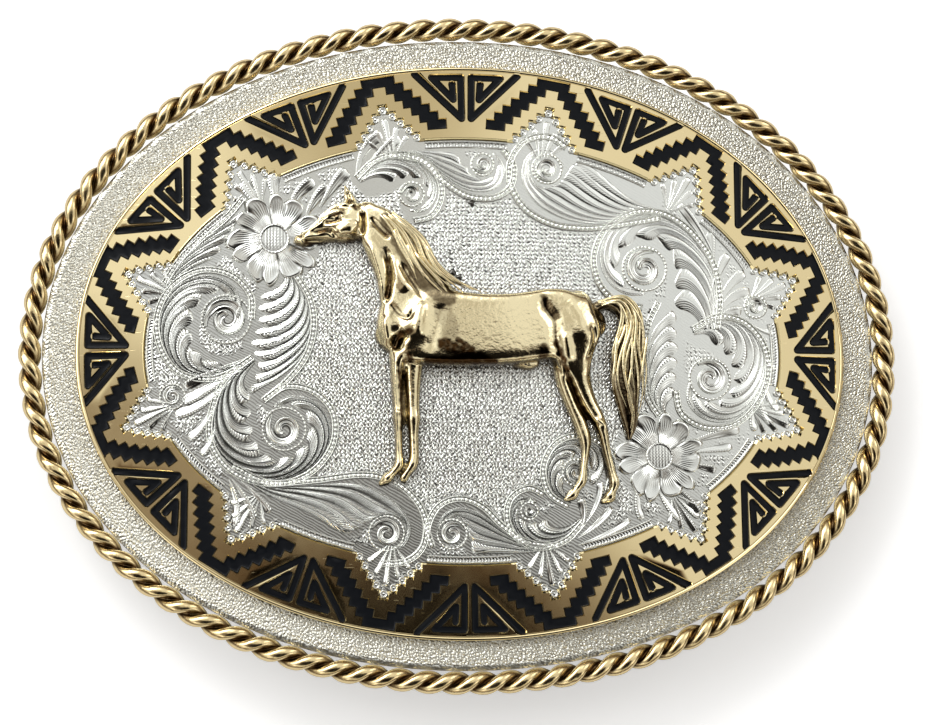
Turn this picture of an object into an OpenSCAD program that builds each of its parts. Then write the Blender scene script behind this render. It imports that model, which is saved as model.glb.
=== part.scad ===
/* [Overall] */
// Width over the rope edge
buckle_w = 102; // [100:0.5:106]
// Height over the rope edge
buckle_h = 78; // [76:0.5:82]
// Radius that the whole buckle is curved to, about its upright axis
curve_r = 287; // [250:1:400]
// Squareness of the ovals, where 2 is a true ellipse
squareness = 2.04; // [2:0.01:2.2]

/* [Plate] */
// Thickness of the base plate under the band
plate_t = 1.3; // [1:0.1:2]
// How much lower the stippled border lies than the seat of the band
border_drop = 0.1; // [0.05:0.05:0.3]

/* [Rope edge] */
// Diameter over the twisted strands
rope_d = 2.65; // [2.5:0.05:3.2]
// Strands that are twisted together
rope_strands = 3; // [3:1:3]
// Strand crests that pass along the top, once round the buckle
rope_lobes = 90; // [80:1:96]
// How deep the valley between two strands is
strand_valley = 0.5; // [0.2:0.02:0.6]

/* [Band] */
// Width of the gold band over its outer edge
band_w = 88.9; // [88.6:0.1:89.2]
// Height of the gold band over its outer edge
band_h = 66; // [65.6:0.1:66.4]
// Thickness of the band
band_t = 0.85; // [0.7:0.05:1.2]
// Width of the oval opening in the band, without its star points
opening_w = 73.4; // [72:0.2:74]
// Height of the oval opening in the band, without its star points
opening_h = 49.1; // [48:0.2:50]
// Depth of the recesses that hold the enamel
recess_depth = 0.4; // [0.3:0.05:0.5]
// How far the enamel lies below the gold
enamel_sink = 0.15; // [0.1:0.05:0.2]

/* [Stars and chevrons] */
// Half of the flat at a star's tip
star_flat = 0.45; // [0.35:0.05:0.5]
// Width of one step on a star's side
star_run = 0.81; // [0.76:0.01:0.84]
// Height of one step on a star's side
star_rise = 0.93; // [0.88:0.01:0.98]
// Steps on each side of a star
star_steps = 5; // [4:1:5]
// Distance from a star's place to the top of its chevron
chevron_top = 3.12; // [2.9:0.02:3.2]
// Distance from a star's place to the feet of its chevron
chevron_foot = 3.6; // [3.4:0.05:3.7]
// Half of the flat at a chevron's top
chevron_flat = 1.7; // [1.6:0.02:1.8]
// Width of one step outside a chevron
chevron_run = 0.86; // [0.82:0.01:0.88]
// Height of one step of a chevron
chevron_rise = 0.945; // [0.92:0.005:0.96]
// Steps along the outside of each leg
chevron_steps = 7; // [6:1:7]
// Thickness of the black strap at the chevron's top
strap_t = 1.08; // [0.9:0.02:1.2]
// Half of the flat inside a chevron's top
inner_flat = 0.76; // [0.7:0.02:0.85]
// Width of one step inside a chevron
inner_run = 0.81; // [0.78:0.01:0.84]

/* [Angular spirals] */
// Width of the black line
line_w = 0.66; // [0.5:0.02:0.7]

/* [Engraved field] */
// Thickness of the engraved plate at its ground
field_t = 0.4; // [0.3:0.05:0.6]
// Height of the leaves and flowers above the ground
relief_t = 0.25; // [0.15:0.05:0.4]
// Petals on each flower
petals = 8; // [6:1:10]
// Height of a flower's centre above its petals
disc_lift = 0.1; // [0.05:0.05:0.2]

/* [Horse] */
// Height of the horse's barrel above the engraved relief
horse_relief = 3; // [2:0.1:4]

/* [Back] */
// Height of the middle of the back above the surface that the buckle lies on
stand_off = 9; // [8.5:0.1:12]
// Width between the legs of the belt loop
loop_inner_w = 42; // [40:1:46]
// Diameter of the loop's wire
loop_wire = 3; // [2.5:0.1:3.2]
// Bend radius of the loop's wire, to its middle
loop_bend = 3; // [2.5:0.1:4]
// Distance of the loop from the middle, towards the left end
loop_x = 22; // [18:1:26]
// Distance of the hook from the middle, towards the right end
hook_x = 24; // [18:1:28]
// Diameter of the hook's peg
hook_d = 3.5; // [3:0.1:4]
// Diameter of the feet that the loop and the hook are soldered on by
foot_d = 6; // [6:0.5:9]
// Thickness of those feet
foot_t = 1; // [0.8:0.1:1.5]

/* [Hidden] */

// Gap left where one piece is soldered or laid on another
seam = 0.05;
// The size that the tables of places are written for
table_w = 102;
table_h = 78;

// Heights, measured square to the curved face from the top of the gold band
band_low = -band_t;
seat_h = band_low - seam;
border_h = seat_h - border_drop;
back_h = seat_h - plate_t;
field_top = band_low + field_t;
relief_top = field_top + relief_t;
recess_h = -recess_depth;
enamel_low = recess_h + seam / 2;
horse_low = relief_top + seam;

// Height of the band's top, at the middle of the buckle, above the resting surface
face_z = stand_off - back_h;
// Top of the upright blocks that the pieces are cut from
block_top = face_z + 2;
// Sides of each oval outline
oval_sides = 96;
// Facets that stand for the round of the curved face where it has to be meshed
curve_sides = 720;

rope_r = rope_d / 2;
plate_w = buckle_w - 2 * rope_d - 2 * seam;
plate_h = buckle_h - 2 * rope_d - 2 * seam;

// Star points in one quarter: x and y, the way that the point faces, the radius that the
// star and its chevron are bent to, and their stretch along the band
star_places = [
    [9.76, 28.46, 80.2, 77, 1.05],
    [27.07, 22.08, 57.6, 54, 1],
    [39.14, 9.08, 25, 32, 0.97],
];

// Spiral pairs in one quarter: x, y and direction of the pair's inner end, then the
// stretch of the pair along the band and across it
spiral_places = [
    [0, 26.57, 90, 1.02, 1.03],
    [17.93, 23.54, 70.9, 0.985, 1.02],
    [32.08, 14.52, 42.6, 1, 0.985],
    [38.47, 0, 0, 1.03, 0.9],
];

// Corners of one angular spiral, right of its pair's middle line: along the band and across it
spiral_corners = [
    [5.83, 5.3],
    [0.55, 0.32],
    [0.6, 5.04],
    [3.9, 4.95],
    [1.48, 2.5],
    [1.6, 4.2],
];

// Flowers: x and y of the middle, radius over the petals, radius of the centre, turn
flowers = [
    [-22.0, 12.7, 5.2, 1.75, 10],
    [22.0, -12.1, 4.9, 1.65, 0],
];

// Scrolls: x and y of the eye, outer radius, direction of the outer end, turns,
// and 1 if the line winds inwards to the left
scrolls = [
    [-28.1, 3.8, 5.6, 100, 1.6, 1],
    [-21.3, -8.6, 5.6, -60, 1.6, -1],
    [-8.8, -21.0, 2.6, 60, 1.2, -1],
    [-1.9, -21.0, 2.4, 100, 1.2, 1],
    [6.6, -18.5, 3.0, 150, 1.3, 1],
    [13.9, -19.6, 2.6, 60, 1.2, -1],
    [-6.2, 18.6, 2.8, -40, 1.3, 1],
    [1.8, 21.2, 1.9, 200, 1.1, -1],
    [9.3, 19.9, 3.6, 240, 1.4, 1],
    [20.7, 9.7, 5.2, 200, 1.6, -1],
    [29.5, 3.4, 3.4, 100, 1.3, 1],
    [28.0, -4.6, 4.4, 130, 1.5, -1],
    [-33.0, -4.6, 1.8, 20, 1.1, 1],
];

// Masses of the horse: x, y and radius of one end, x, y and radius of the other, and
// the height of the two rounds as a share of the barrel's
horse_masses = [
    // Barrel, chest, croup and shoulder
    [-5.8, 2.6, 4.1, 10.8, 2.9, 4.1, 1, 1],
    [-6.2, 3.6, 3.9, -6.2, 0.6, 3.3, 1, 0.9],
    [11.6, 3.2, 3.8, 11.9, 0.2, 3.4, 1, 0.9],
    // Neck, head, jaw and muzzle
    [-5.4, 5.2, 3.6, -9.3, 11.6, 2.9, 1, 0.85],
    [-9.3, 11.6, 2.9, -11.3, 14.4, 2.5, 0.85, 0.8],
    [-11.4, 14.5, 2.4, -13.4, 13.6, 1.9, 0.8, 0.7],
    [-13.2, 14.0, 2.0, -18.1, 12.5, 0.95, 0.7, 0.5],
    [-12.6, 16.2, 0.7, -13.5, 18.2, 0.35, 0.6, 0.4],
    [-11.4, 16.4, 0.7, -11.9, 18.0, 0.35, 0.6, 0.4],
    // Mane
    [-10.4, 15.6, 1.1, -4.6, 9.6, 2.3, 0.85, 0.9],
    [-4.6, 9.6, 2.3, 0.4, 5.6, 1.3, 0.9, 0.7],
    // Forelegs
    [-6.9, -0.6, 2.2, -6.9, -5.8, 1.35, 0.8, 0.55],
    [-6.9, -5.8, 1.35, -6.8, -12.6, 1.3, 0.55, 0.5],
    [-7.2, -12.6, 1.05, -9.0, -14.9, 1.15, 0.5, 0.5],
    [-6.2, -12.6, 1.0, -6.9, -14.2, 1.0, 0.45, 0.45],
    // Far hind leg
    [11.4, -0.4, 2.6, 12.3, -5.9, 1.3, 0.8, 0.5],
    [12.3, -5.9, 1.3, 13.3, -9.9, 1.15, 0.5, 0.45],
    [13.3, -9.9, 1.0, 12.7, -14.6, 0.8, 0.45, 0.45],
    [12.7, -14.6, 0.8, 11.7, -16.4, 1.0, 0.45, 0.4],
    // Near hind leg
    [12.6, -0.4, 2.8, 14.1, -5.4, 1.6, 0.9, 0.6],
    [14.1, -5.4, 1.6, 15.6, -8.4, 1.1, 0.6, 0.55],
    [15.6, -8.4, 1.1, 16.7, -14.4, 0.85, 0.55, 0.5],
    [16.7, -14.4, 0.85, 16.0, -16.7, 1.05, 0.5, 0.45],
    // Tail
    [14.6, 4.6, 1.3, 17.6, 4.4, 1.7, 0.6, 0.6],
    [17.6, 4.4, 1.7, 18.1, -1.6, 2.1, 0.6, 0.6],
    [18.1, -1.6, 2.1, 18.5, -9.6, 0.8, 0.6, 0.4],
];
// Facets round each of the horse's masses
mass_sides = 12;

// Points of an oval of the given width and height, squared a little at its shoulders
function power(c) = sign(c) * pow(abs(c), 2 / squareness);
function oval(w, h) = [for (i = [0:oval_sides - 1])
    let (t = 360 * i / oval_sides) [w / 2 * power(cos(t)), h / 2 * power(sin(t))]];

// Every mirrored copy of a place in the upper right quarter, as x, y and direction
function copies(p) = [for (sx = p[0] == 0 ? [1] : [1, -1], sy = p[1] == 0 ? [1] : [1, -1])
    [sx * p[0] * buckle_w / table_w, sy * p[1] * buckle_h / table_h, atan2(sy * sin(p[2]), sx * cos(p[2]))]];

// A right-hand outline joined to its mirror image
function reversed(side) = [for (i = [len(side) - 1:-1:0]) side[i]];
function mirrored(half) = concat(half, [for (p = reversed(half)) [-p[0], p[1]]]);

// Staircase that goes down and outwards from a flat, with its last drop to a lowest level
function stairs(flat, top, run, rise, steps, low) = [for (k = [0:steps - 1], e = [0, 1])
    [flat + k * run, k + e == steps ? low : top - (k + e) * rise]];

// A place's outline: stretched along the band, then bent round with it
function bent(points, place) = [for (p = points)
    let (r = place[3] + p[1], a = p[0] * place[4] / place[3] * 180 / PI) [r * sin(a), r * cos(a) - place[3]]];

// Chevron: the outer staircase down to the foot, and the inner one back up
function chevron() = mirrored(concat(
    stairs(chevron_flat, chevron_top, chevron_run, chevron_rise, chevron_steps, -chevron_foot),
    reversed(stairs(inner_flat, chevron_top - strap_t, inner_run, chevron_rise, chevron_steps - 1, -chevron_foot))));

// Star point, with its sides carried on into the oval opening; less is taken off all round
star_tip = -0.15;
star_root = -7;
function star(less) = mirrored(stairs(star_flat - less, star_tip - less, star_run, star_rise, star_steps, star_root));

// Outline of a line of even width: round ends, round outside corners, mitred inside ones
function unit(v) = v / norm(v);
function left_of(v) = [-v[1], v[0]];
function arc(c, r, from, sweep, n) = [for (i = [0:n]) let (a = from + sweep * i / n) c + r * [cos(a), sin(a)]];
function heading(v) = atan2(v[1], v[0]);
function corner(a, b, c, r) =
    let (d0 = unit(b - a), d1 = unit(c - b), turn = heading([d0 * d1, cross(d0, d1)]),
         n0 = left_of(d0), n1 = left_of(d1))
    turn < 0 ? arc(b, r, heading(n0), turn, 3) : [b + r * (n0 + n1) / (1 + n0 * n1)];
function left_side(path, r) = [for (i = [1:len(path) - 2]) each corner(path[i - 1], path[i], path[i + 1], r)];
function cap(a, b, r) = arc(b, r, heading(left_of(b - a)), -180, 4);
function stroke(path, r) =
    let (back = reversed(path), n = len(path))
    concat(left_side(path, r), cap(path[n - 2], path[n - 1], r), left_side(back, r), cap(path[1], path[0], r));

// One angular spiral, stretched as its place asks
function spiral_path(place) = [for (c = spiral_corners) [c[0] * place[3], c[1] * place[4]]];

// Flower outline: full petals with a small notch at each tip
function petal_radius(r, disc, phase) =
    disc + (r - disc) * (1 - 0.55 * pow(abs(phase), 3)) - 0.12 * r * exp(-pow(phase / 0.16, 2));
function flower(f) = [for (i = [0:12 * petals - 1])
    let (phase = (i % 12 - 6) / 6, a = 30 * i / petals + f[4])
    [f[0], f[1]] + petal_radius(f[2], f[3], phase) * [cos(a), sin(a)]];

// Scroll: a line that winds in towards its eye and grows thinner on the way
function scroll_radius(s, t) = s[2] * pow(0.16, t);
function scroll_line(s, side) = [for (i = [0:24])
    let (t = i / 24, a = s[3] + s[5] * 360 * s[4] * t, r = scroll_radius(s, t), w = 0.1 + 0.13 * s[2] * (1 - t))
    [s[0], s[1]] + (r + side * w) * [cos(a), sin(a)]];
function scroll(s) = concat(scroll_line(s, 1), reversed(scroll_line(s, -1)));

// Everything inside the curved face at a height
module within(h) {
    translate([0, 0, face_z - curve_r])
        rotate([90, 0, 0])
            cylinder(r = curve_r + h, h = buckle_h + 40, center = true, $fn = curve_sides);
}

// The curved layer between two heights
module layer(low, high) {
    difference() {
        within(high);
        within(low);
    }
}

// An upright block with the outline of its children, kept between two heights
module curved(low, high) {
    intersection() {
        linear_extrude(block_top) children();
        layer(low, high);
    }
}

// Children at every mirrored copy of one place
module at_copies(place) {
    for (p = copies(place))
        translate([p[0], p[1]]) rotate(p[2] - 90) children();
}

module star_opening(less) {
    polygon(oval(opening_w - 2 * less, opening_h - 2 * less));
    for (place = star_places)
        at_copies(place) polygon(bent(star(less), place));
}

module chevrons() {
    for (place = star_places)
        at_copies(place) polygon(bent(chevron(), place));
}

module spirals() {
    for (place = spiral_places)
        at_copies(place) {
            polygon(stroke(spiral_path(place), line_w / 2));
            mirror([1, 0]) polygon(stroke(spiral_path(place), line_w / 2));
        }
}

// Silver base plate, with a seat for the band and the stippled border a little lower
module base_plate() {
    color("gainsboro") {
        curved(back_h, border_h) polygon(oval(plate_w, plate_h));
        curved(border_h - seam, seat_h) polygon(oval(band_w, band_h));
    }
}

// Ring of triangles that joins the sections of a closed, twisted tube
function rope_faces(rings, sides) = [for (i = [0:rings - 1], j = [0:sides - 1], half = [0, 1])
    let (a = i * sides + j, b = i * sides + (j + 1) % sides,
         c = (i + 1) % rings * sides + j, d = (i + 1) % rings * sides + (j + 1) % sides)
    half == 0 ? [a, c, b] : [b, c, d]];

// Twisted gold rope, carried round the plate's edge; each crest moves on by one side of
// the section from ring to ring
rope_sides = 3 * rope_strands;
rope_rings = 3 * rope_lobes;
rope_mid_w = buckle_w / 2 - rope_r;
rope_mid_h = buckle_h / 2 - rope_r;
function even_angle(i) =
    let (t = 360 * i / rope_rings, flat = (rope_mid_w - rope_mid_h) / (rope_mid_w + rope_mid_h))
    t + flat / 2 * sin(2 * t) * 180 / PI;
function rope_middle(i) = let (t = even_angle(i)) [rope_mid_w * power(cos(t)), rope_mid_h * power(sin(t))];
function face_height(x, h) = face_z - curve_r + sqrt(pow(curve_r + h, 2) - x * x);
rope_h = back_h + rope_r;
function rope_ring(i) =
    let (m = rope_middle(i), along = unit(rope_middle(i + 1) - rope_middle(i - 1)), out = [along[1], -along[0]])
    [for (j = [0:rope_sides - 1])
        let (a = 360 * j / rope_sides, crest = cos(rope_strands * 360 * (j - i) / rope_sides),
             r = rope_r - strand_valley * (1 - crest) / 2)
        [m[0] + r * cos(a) * out[0], m[1] + r * cos(a) * out[1], face_height(m[0], rope_h) + r * sin(a)]];
module rope_edge() {
    color("goldenrod")
        polyhedron([for (i = [0:rope_rings - 1]) each rope_ring(i)], rope_faces(rope_rings, rope_sides));
}

// Gold band, cut through by the star opening and recessed for the enamel
module gold_band() {
    color("gold")
        difference() {
            curved(band_low, 0)
                difference() {
                    polygon(oval(band_w, band_h));
                    star_opening(0);
                }
            difference() {
                linear_extrude(block_top) {
                    chevrons();
                    spirals();
                }
                within(recess_h);
            }
        }
}

// Black stepped chevrons, one over each star point
module zigzag_enamel() {
    color([0.08, 0.08, 0.1]) curved(enamel_low, -enamel_sink) chevrons();
}

// Black angular spirals, a mirrored pair between each two chevrons
module spiral_enamel() {
    color([0.08, 0.08, 0.1]) curved(enamel_low, -enamel_sink) spirals();
}

// Engraved silver plate that fills the opening: flat ground, flowers and scrolls
module engraved_field() {
    color("whitesmoke") {
        curved(band_low, field_top) star_opening(seam);
        curved(field_top - seam, relief_top) {
            for (f = flowers) polygon(flower(f));
            for (s = scrolls) polygon(scroll(s));
        }
        curved(relief_top - seam, relief_top + disc_lift)
            for (f = flowers) translate([f[0], f[1]]) circle(f[3], $fn = 32);
    }
}

// One rounded mass of the horse, between two flattened balls
module ball(x, y, r, share) {
    translate([x, y, face_height(x, horse_low)])
        scale([1, 1, horse_relief * share / r])
            sphere(r, $fn = mass_sides);
}
module mass(m) {
    hull() {
        ball(m[0], m[1], m[2], m[6]);
        ball(m[3], m[4], m[5], m[7]);
    }
}

// Standing horse in half relief
module horse() {
    color("goldenrod")
        difference() {
            union() for (m = horse_masses) mass(m);
            within(horse_low);
        }
}

// Upright foot under the back, with its top cut to the back's curve
module foot(x, y, low, r) {
    intersection() {
        translate([x, y, low]) cylinder(r = r, h = face_z, $fn = 48);
        within(back_h - seam);
    }
}

// Belt loop: one bent wire on two feet
loop_y = (loop_inner_w + loop_wire) / 2;
module loop_corner() {
    translate([-loop_x, loop_y - loop_bend, loop_wire / 2 + loop_bend])
        rotate([0, 90, 0])
            rotate_extrude(angle = 90, $fn = 48)
                translate([loop_bend, 0]) circle(loop_wire / 2, $fn = 32);
}
module belt_loop() {
    color("silver") {
        translate([-loop_x, 0, loop_wire / 2])
            rotate([90, 0, 0])
                cylinder(d = loop_wire, h = 2 * (loop_y - loop_bend), center = true, $fn = 32);
        for (side = [0, 1]) mirror([0, side]) {
            loop_corner();
            foot(-loop_x, loop_y, loop_wire / 2 + loop_bend, loop_wire / 2);
            foot(-loop_x, loop_y, face_height(loop_x, back_h) - foot_t, foot_d / 2);
        }
    }
}

// Belt hook: a round peg on a foot, with a domed end
module belt_hook() {
    color("silver") {
        translate([hook_x, 0, hook_d / 2]) sphere(d = hook_d, $fn = 32);
        foot(hook_x, 0, hook_d / 2, hook_d / 2);
        foot(hook_x, 0, face_height(hook_x, back_h) - foot_t, foot_d / 2);
    }
}

base_plate();
rope_edge();
gold_band();
zigzag_enamel();
spiral_enamel();
engraved_field();
horse();
belt_loop();
belt_hook();
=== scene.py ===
"""Looks of a western belt buckle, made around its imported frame: rope edge, stippled border,
inlaid gold band, engraved field, cast horse, belt loop and hook."""

import bmesh
import bpy
import numpy as np
from mathutils import Matrix, Vector
from mathutils.geometry import delaunay_2d_cdt


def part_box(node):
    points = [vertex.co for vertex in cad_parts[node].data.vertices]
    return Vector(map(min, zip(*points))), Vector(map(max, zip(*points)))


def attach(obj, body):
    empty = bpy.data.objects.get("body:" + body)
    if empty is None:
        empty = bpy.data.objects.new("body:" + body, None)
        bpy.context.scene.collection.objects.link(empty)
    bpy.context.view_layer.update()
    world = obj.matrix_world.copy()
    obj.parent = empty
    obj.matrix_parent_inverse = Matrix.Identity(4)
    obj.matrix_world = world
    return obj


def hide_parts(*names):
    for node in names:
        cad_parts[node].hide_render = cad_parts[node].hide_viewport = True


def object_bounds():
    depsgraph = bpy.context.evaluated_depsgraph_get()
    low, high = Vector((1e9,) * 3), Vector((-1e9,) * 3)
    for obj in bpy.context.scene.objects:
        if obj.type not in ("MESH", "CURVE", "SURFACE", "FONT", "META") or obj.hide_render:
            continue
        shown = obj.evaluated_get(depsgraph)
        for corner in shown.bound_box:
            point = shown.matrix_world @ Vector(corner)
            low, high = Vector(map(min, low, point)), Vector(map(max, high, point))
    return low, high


bl_info = {
    "name": "Western belt buckle",
    "version": (1, 0, 0),
    "blender": (4, 5, 0),
    "location": "View3D > Sidebar > Buckle",
    "description": "Rope edge, border, inlaid band, engraved field and cast horse of a western belt buckle",
    "category": "Add Mesh",
}

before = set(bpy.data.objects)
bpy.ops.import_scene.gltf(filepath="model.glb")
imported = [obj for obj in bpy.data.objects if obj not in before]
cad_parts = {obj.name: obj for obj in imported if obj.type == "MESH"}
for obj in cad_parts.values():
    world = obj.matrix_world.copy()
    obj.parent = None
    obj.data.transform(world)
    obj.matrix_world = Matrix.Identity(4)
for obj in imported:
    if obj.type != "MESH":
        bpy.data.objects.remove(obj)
CAD_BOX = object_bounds()

# One millimetre in scene units; shapes below are worked out in millimetres
MM = 0.001


def node_box(name):
    """Lowest and highest corner of a CAD node, in millimetres."""
    low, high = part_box(name)
    return np.array(low) / MM, np.array(high) / MM


BUCKLE_LOW, BUCKLE_HIGH = np.array(CAD_BOX[0]) / MM, np.array(CAD_BOX[1]) / MM
BAND_LOW, BAND_HIGH = node_box("gold_band")
PLATE_LOW, PLATE_HIGH = node_box("base_plate")
FACE_Z = BAND_HIGH[2]
BUCKLE_W = BUCKLE_HIGH[0] - BUCKLE_LOW[0]
BUCKLE_H = BUCKLE_HIGH[1] - BUCKLE_LOW[1]
BAND_W = BAND_HIGH[0] - BAND_LOW[0]
BAND_H = BAND_HIGH[1] - BAND_LOW[1]
PLATE_W = PLATE_HIGH[0] - PLATE_LOW[0]
PLATE_H = PLATE_HIGH[1] - PLATE_LOW[1]

# Heights over the curved face, from the top of the gold band
BAND_T = 0.85
SEAM = 0.05
SEAT = -BAND_T - SEAM
BORDER = SEAT - 0.1
BACK = SEAT - 1.3
FIELD = -BAND_T + 0.4
RELIEF = 0.32
HORSE_FOOT = FIELD + 0.25 + SEAM


def a_length(name, description, default, **limits):
    return bpy.props.FloatProperty(name=name, description=description, default=default, unit="LENGTH",
                                   **limits)


def a_colour(name, description, default):
    return bpy.props.FloatVectorProperty(name=name, description=description, subtype="COLOR", size=3,
                                         default=default)


class BuckleSizes(bpy.types.PropertyGroup):
    """Sizes that a user may change; the frame gives the others."""

    curve_radius: a_length("Curve radius", "Radius that the face is curved to about its upright axis", 0.287,
                           min=0.2, max=0.5)
    squareness: bpy.props.FloatProperty(
        name="Squareness", description="Power of the ovals, where 2 is a true ellipse",
        default=2.04, min=2, max=2.3)
    rope_diameter: a_length("Rope diameter", "Diameter over the twisted strands", 0.00265)
    rope_crests: bpy.props.IntProperty(
        name="Rope crests", description="Strand crests along the top, once round",
        default=90, min=60, max=120)
    opening_width: a_length("Opening width", "Width of the band's oval opening", 0.0734)
    opening_height: a_length("Opening height", "Height of the band's oval opening", 0.0491)
    spiral_line: a_length("Spiral line", "Width of the black line of the angular spirals", 0.00066)
    star_bevel: a_length("Star bevel", "Width of the sloping wall round the star points", 0.00024)
    recess_bevel: a_length("Recess bevel", "Width of the sloping wall round the enamel", 0.00013)
    enamel_sink: a_length("Enamel sink", "How far the enamel lies below the gold", 0.00015)


class BuckleFinishes(bpy.types.PropertyGroup):
    """Colours of the finishes."""

    silver: a_colour("Silver", "Bright-cut silver plate", (0.94, 0.955, 0.91))
    border_silver: a_colour("Border silver", "Stippled silver border", (0.76, 0.755, 0.68))
    band_gold: a_colour("Band gold", "Flat gold of the band", (0.92, 0.76, 0.43))
    rope_gold: a_colour("Rope gold", "Gold of the rope edge", (0.88, 0.70, 0.38))
    horse_gold: a_colour("Horse gold", "Gold of the cast horse", (1.0, 0.87, 0.55))
    # Tarnish and oxide also give the colour of painted shade and painted dark reflections in hollows, creases
    # and on steep sides
    tarnish_and_shade: a_colour("Tarnish and shade", "Brown dirt in the hollows of the gold", (0.07, 0.035, 0.012))
    oxide_and_shade: a_colour("Oxide and shade", "Grey in the hollows of the silver", (0.10, 0.095, 0.085))
    enamel: a_colour("Enamel", "Black enamel", (0.005, 0.006, 0.008))
    back_silver: a_colour("Back silver", "Plain nickel silver of the back", (0.70, 0.69, 0.66))
    floor: a_colour("Floor", "Plain pale floor", (0.86, 0.86, 0.86))


# Meshes from arrays

def lay(flat, height, radius):
    """Points over the curved face: each keeps its x and y, and lies on the cylinder that is
    the given height above the face's own."""
    rise = np.sqrt((radius + height) ** 2 - flat[..., 0] ** 2) - radius
    return np.concatenate([flat, (FACE_Z + rise)[..., None]], axis=-1)


def grid_faces(rows, columns, close_rows=False, close_columns=False):
    """Corner numbers of the four-sided cells of a grid that is numbered row by row."""
    i = np.arange(rows if close_rows else rows - 1)[:, None]
    j = np.arange(columns if close_columns else columns - 1)[None, :]
    down, right = (i + 1) % rows, (j + 1) % columns
    cells = [i * columns + j, down * columns + j, down * columns + right, i * columns + right]
    return np.stack([c + 0 * (i + j) for c in cells], axis=-1).reshape(-1, 4)


def grid_uv(along, across):
    """Texture places of a grid's cells, which run on past its seams."""
    i, j = np.meshgrid(np.arange(len(along) - 1), np.arange(len(across) - 1), indexing="ij")
    corners = [(i, j), (i + 1, j), (i + 1, j + 1), (i, j + 1)]
    return np.stack([np.stack([along[a], across[b]], -1) for a, b in corners], axis=-2).reshape(-1, 4, 2)


def part(points, faces, uv=None, **values):
    """Points with the faces between them, the faces' texture places and values kept at each point."""
    points = points.reshape(-1, 3)
    return {"points": points, "faces": faces, "uv": uv,
            "values": {k: np.broadcast_to(v, len(points)).ravel() if np.ndim(v) < 2 else v.ravel()
                       for k, v in values.items()}}


def new_object(name, data):
    made = bpy.data.objects.new(name, data)
    bpy.context.scene.collection.objects.link(made)
    return made


def make_mesh(name, parts, keep=(), sharp=None, merge=False):
    """Joins parts into one mesh object in metres; sharp is the angle in degrees past which an
    edge is crisp, and merge welds the parts and turns their faces outwards."""
    mesh = bpy.data.meshes.new(name)
    starts = np.cumsum([0] + [len(p["points"]) for p in parts])
    points = np.concatenate([p["points"] for p in parts]) * MM
    loops = np.concatenate([(p["faces"] + s).ravel() for p, s in zip(parts, starts)])
    sizes = np.concatenate([np.full(len(p["faces"]), p["faces"].shape[1]) for p in parts])
    mesh.vertices.add(len(points))
    mesh.vertices.foreach_set("co", points.ravel())
    mesh.loops.add(len(loops))
    mesh.loops.foreach_set("vertex_index", loops.astype(np.int32))
    mesh.polygons.add(len(sizes))
    mesh.polygons.foreach_set("loop_start", (np.cumsum(sizes) - sizes).astype(np.int32))
    mesh.update(calc_edges=True)
    if any(p["uv"] is not None for p in parts):
        given = [p["uv"] if p["uv"] is not None else np.zeros(p["faces"].shape + (2,)) for p in parts]
        uv = np.concatenate([places.reshape(-1, 2) for places in given])
        mesh.uv_layers.new(name="surface").data.foreach_set("uv", uv.ravel().astype(np.float32))
    for key in keep:
        data = np.concatenate([p["values"].get(key, np.zeros(len(p["points"]))) for p in parts])
        mesh.attributes.new(key, "FLOAT", "POINT").data.foreach_set("value", data.astype(np.float32))
    if merge:
        weld(mesh)
    mesh.shade_smooth()
    if sharp is not None:
        mesh.set_sharp_from_angle(angle=np.radians(sharp))
    mesh.validate()
    return new_object(name, mesh)


def weld(mesh):
    """Merges points that lie on each other and turns each closed surface outwards."""
    work = bmesh.new()
    work.from_mesh(mesh)
    bmesh.ops.remove_doubles(work, verts=work.verts, dist=2e-7)
    bmesh.ops.recalc_face_normals(work, faces=work.faces)
    work.to_mesh(mesh)
    work.free()


def place_piece(made, slot, material, *nodes):
    """The piece stands for its CAD nodes, rides on the buckle and gets its finish."""
    made.data.materials.append(material)
    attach(made, "root")
    if nodes:
        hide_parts(*nodes)
    return made


class Builder:
    """What the operators share: each builds from the sizes and the finishes."""

    def execute(self, context):
        self.build(context.scene.buckle_sizes, context.scene.buckle_finishes)
        return {"FINISHED"}


# Outlines in the plane of the face, in millimetres

def signed_power(value, squareness):
    return np.sign(value) * np.abs(value) ** (2 / squareness)


def oval_at(t, width, height, squareness):
    """Point of the squared oval at parameter t."""
    return np.stack([width / 2 * signed_power(np.cos(t), squareness),
                     height / 2 * signed_power(np.sin(t), squareness)], axis=-1)


def even_oval(width, height, squareness, count):
    """Closed squared oval with points at even steps of its length, counter-clockwise."""
    t = np.linspace(0, 2 * np.pi, 40 * 180 + 1)
    fine = oval_at(t, width, height, squareness)
    length = length_along(fine)
    wanted = np.linspace(0, length[-1], count, endpoint=False)
    return np.stack([np.interp(wanted, length, fine[:, k]) for k in (0, 1)], -1), length[-1]


def unit(v):
    return v / np.linalg.norm(v, axis=-1, keepdims=True)


def left_of(v):
    """Directions turned a quarter to the left."""
    return np.stack([-v[..., 1], v[..., 0]], -1)


def heading(angle):
    return np.stack([np.cos(angle), np.sin(angle)], -1)


def around(middle, reach, angle):
    """Points at a reach and an angle from a middle."""
    return middle + np.asarray(reach)[..., None] * heading(angle)


def full_turn(count):
    return np.linspace(0, 2 * np.pi, count, endpoint=False)


def length_along(line):
    """Length of a line up to each of its points."""
    return np.concatenate([[0], np.linalg.norm(np.diff(line, axis=0), axis=1).cumsum()])


def sides_of(line):
    """Direction to the left at each point of an open line."""
    return left_of(unit(np.gradient(line, axis=0)))


def nearest(points, others):
    """Distance from each point to the nearest of the others."""
    return np.concatenate([np.min(np.linalg.norm(rows[:, None] - others, axis=2), axis=1)
                           for rows in np.array_split(points, len(points) // 1000 + 1)])


def counter_clockwise(outline):
    x, y = outline.T
    area = np.sum(x * np.roll(y, -1) - np.roll(x, -1) * y)
    return outline if area > 0 else outline[::-1]


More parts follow.
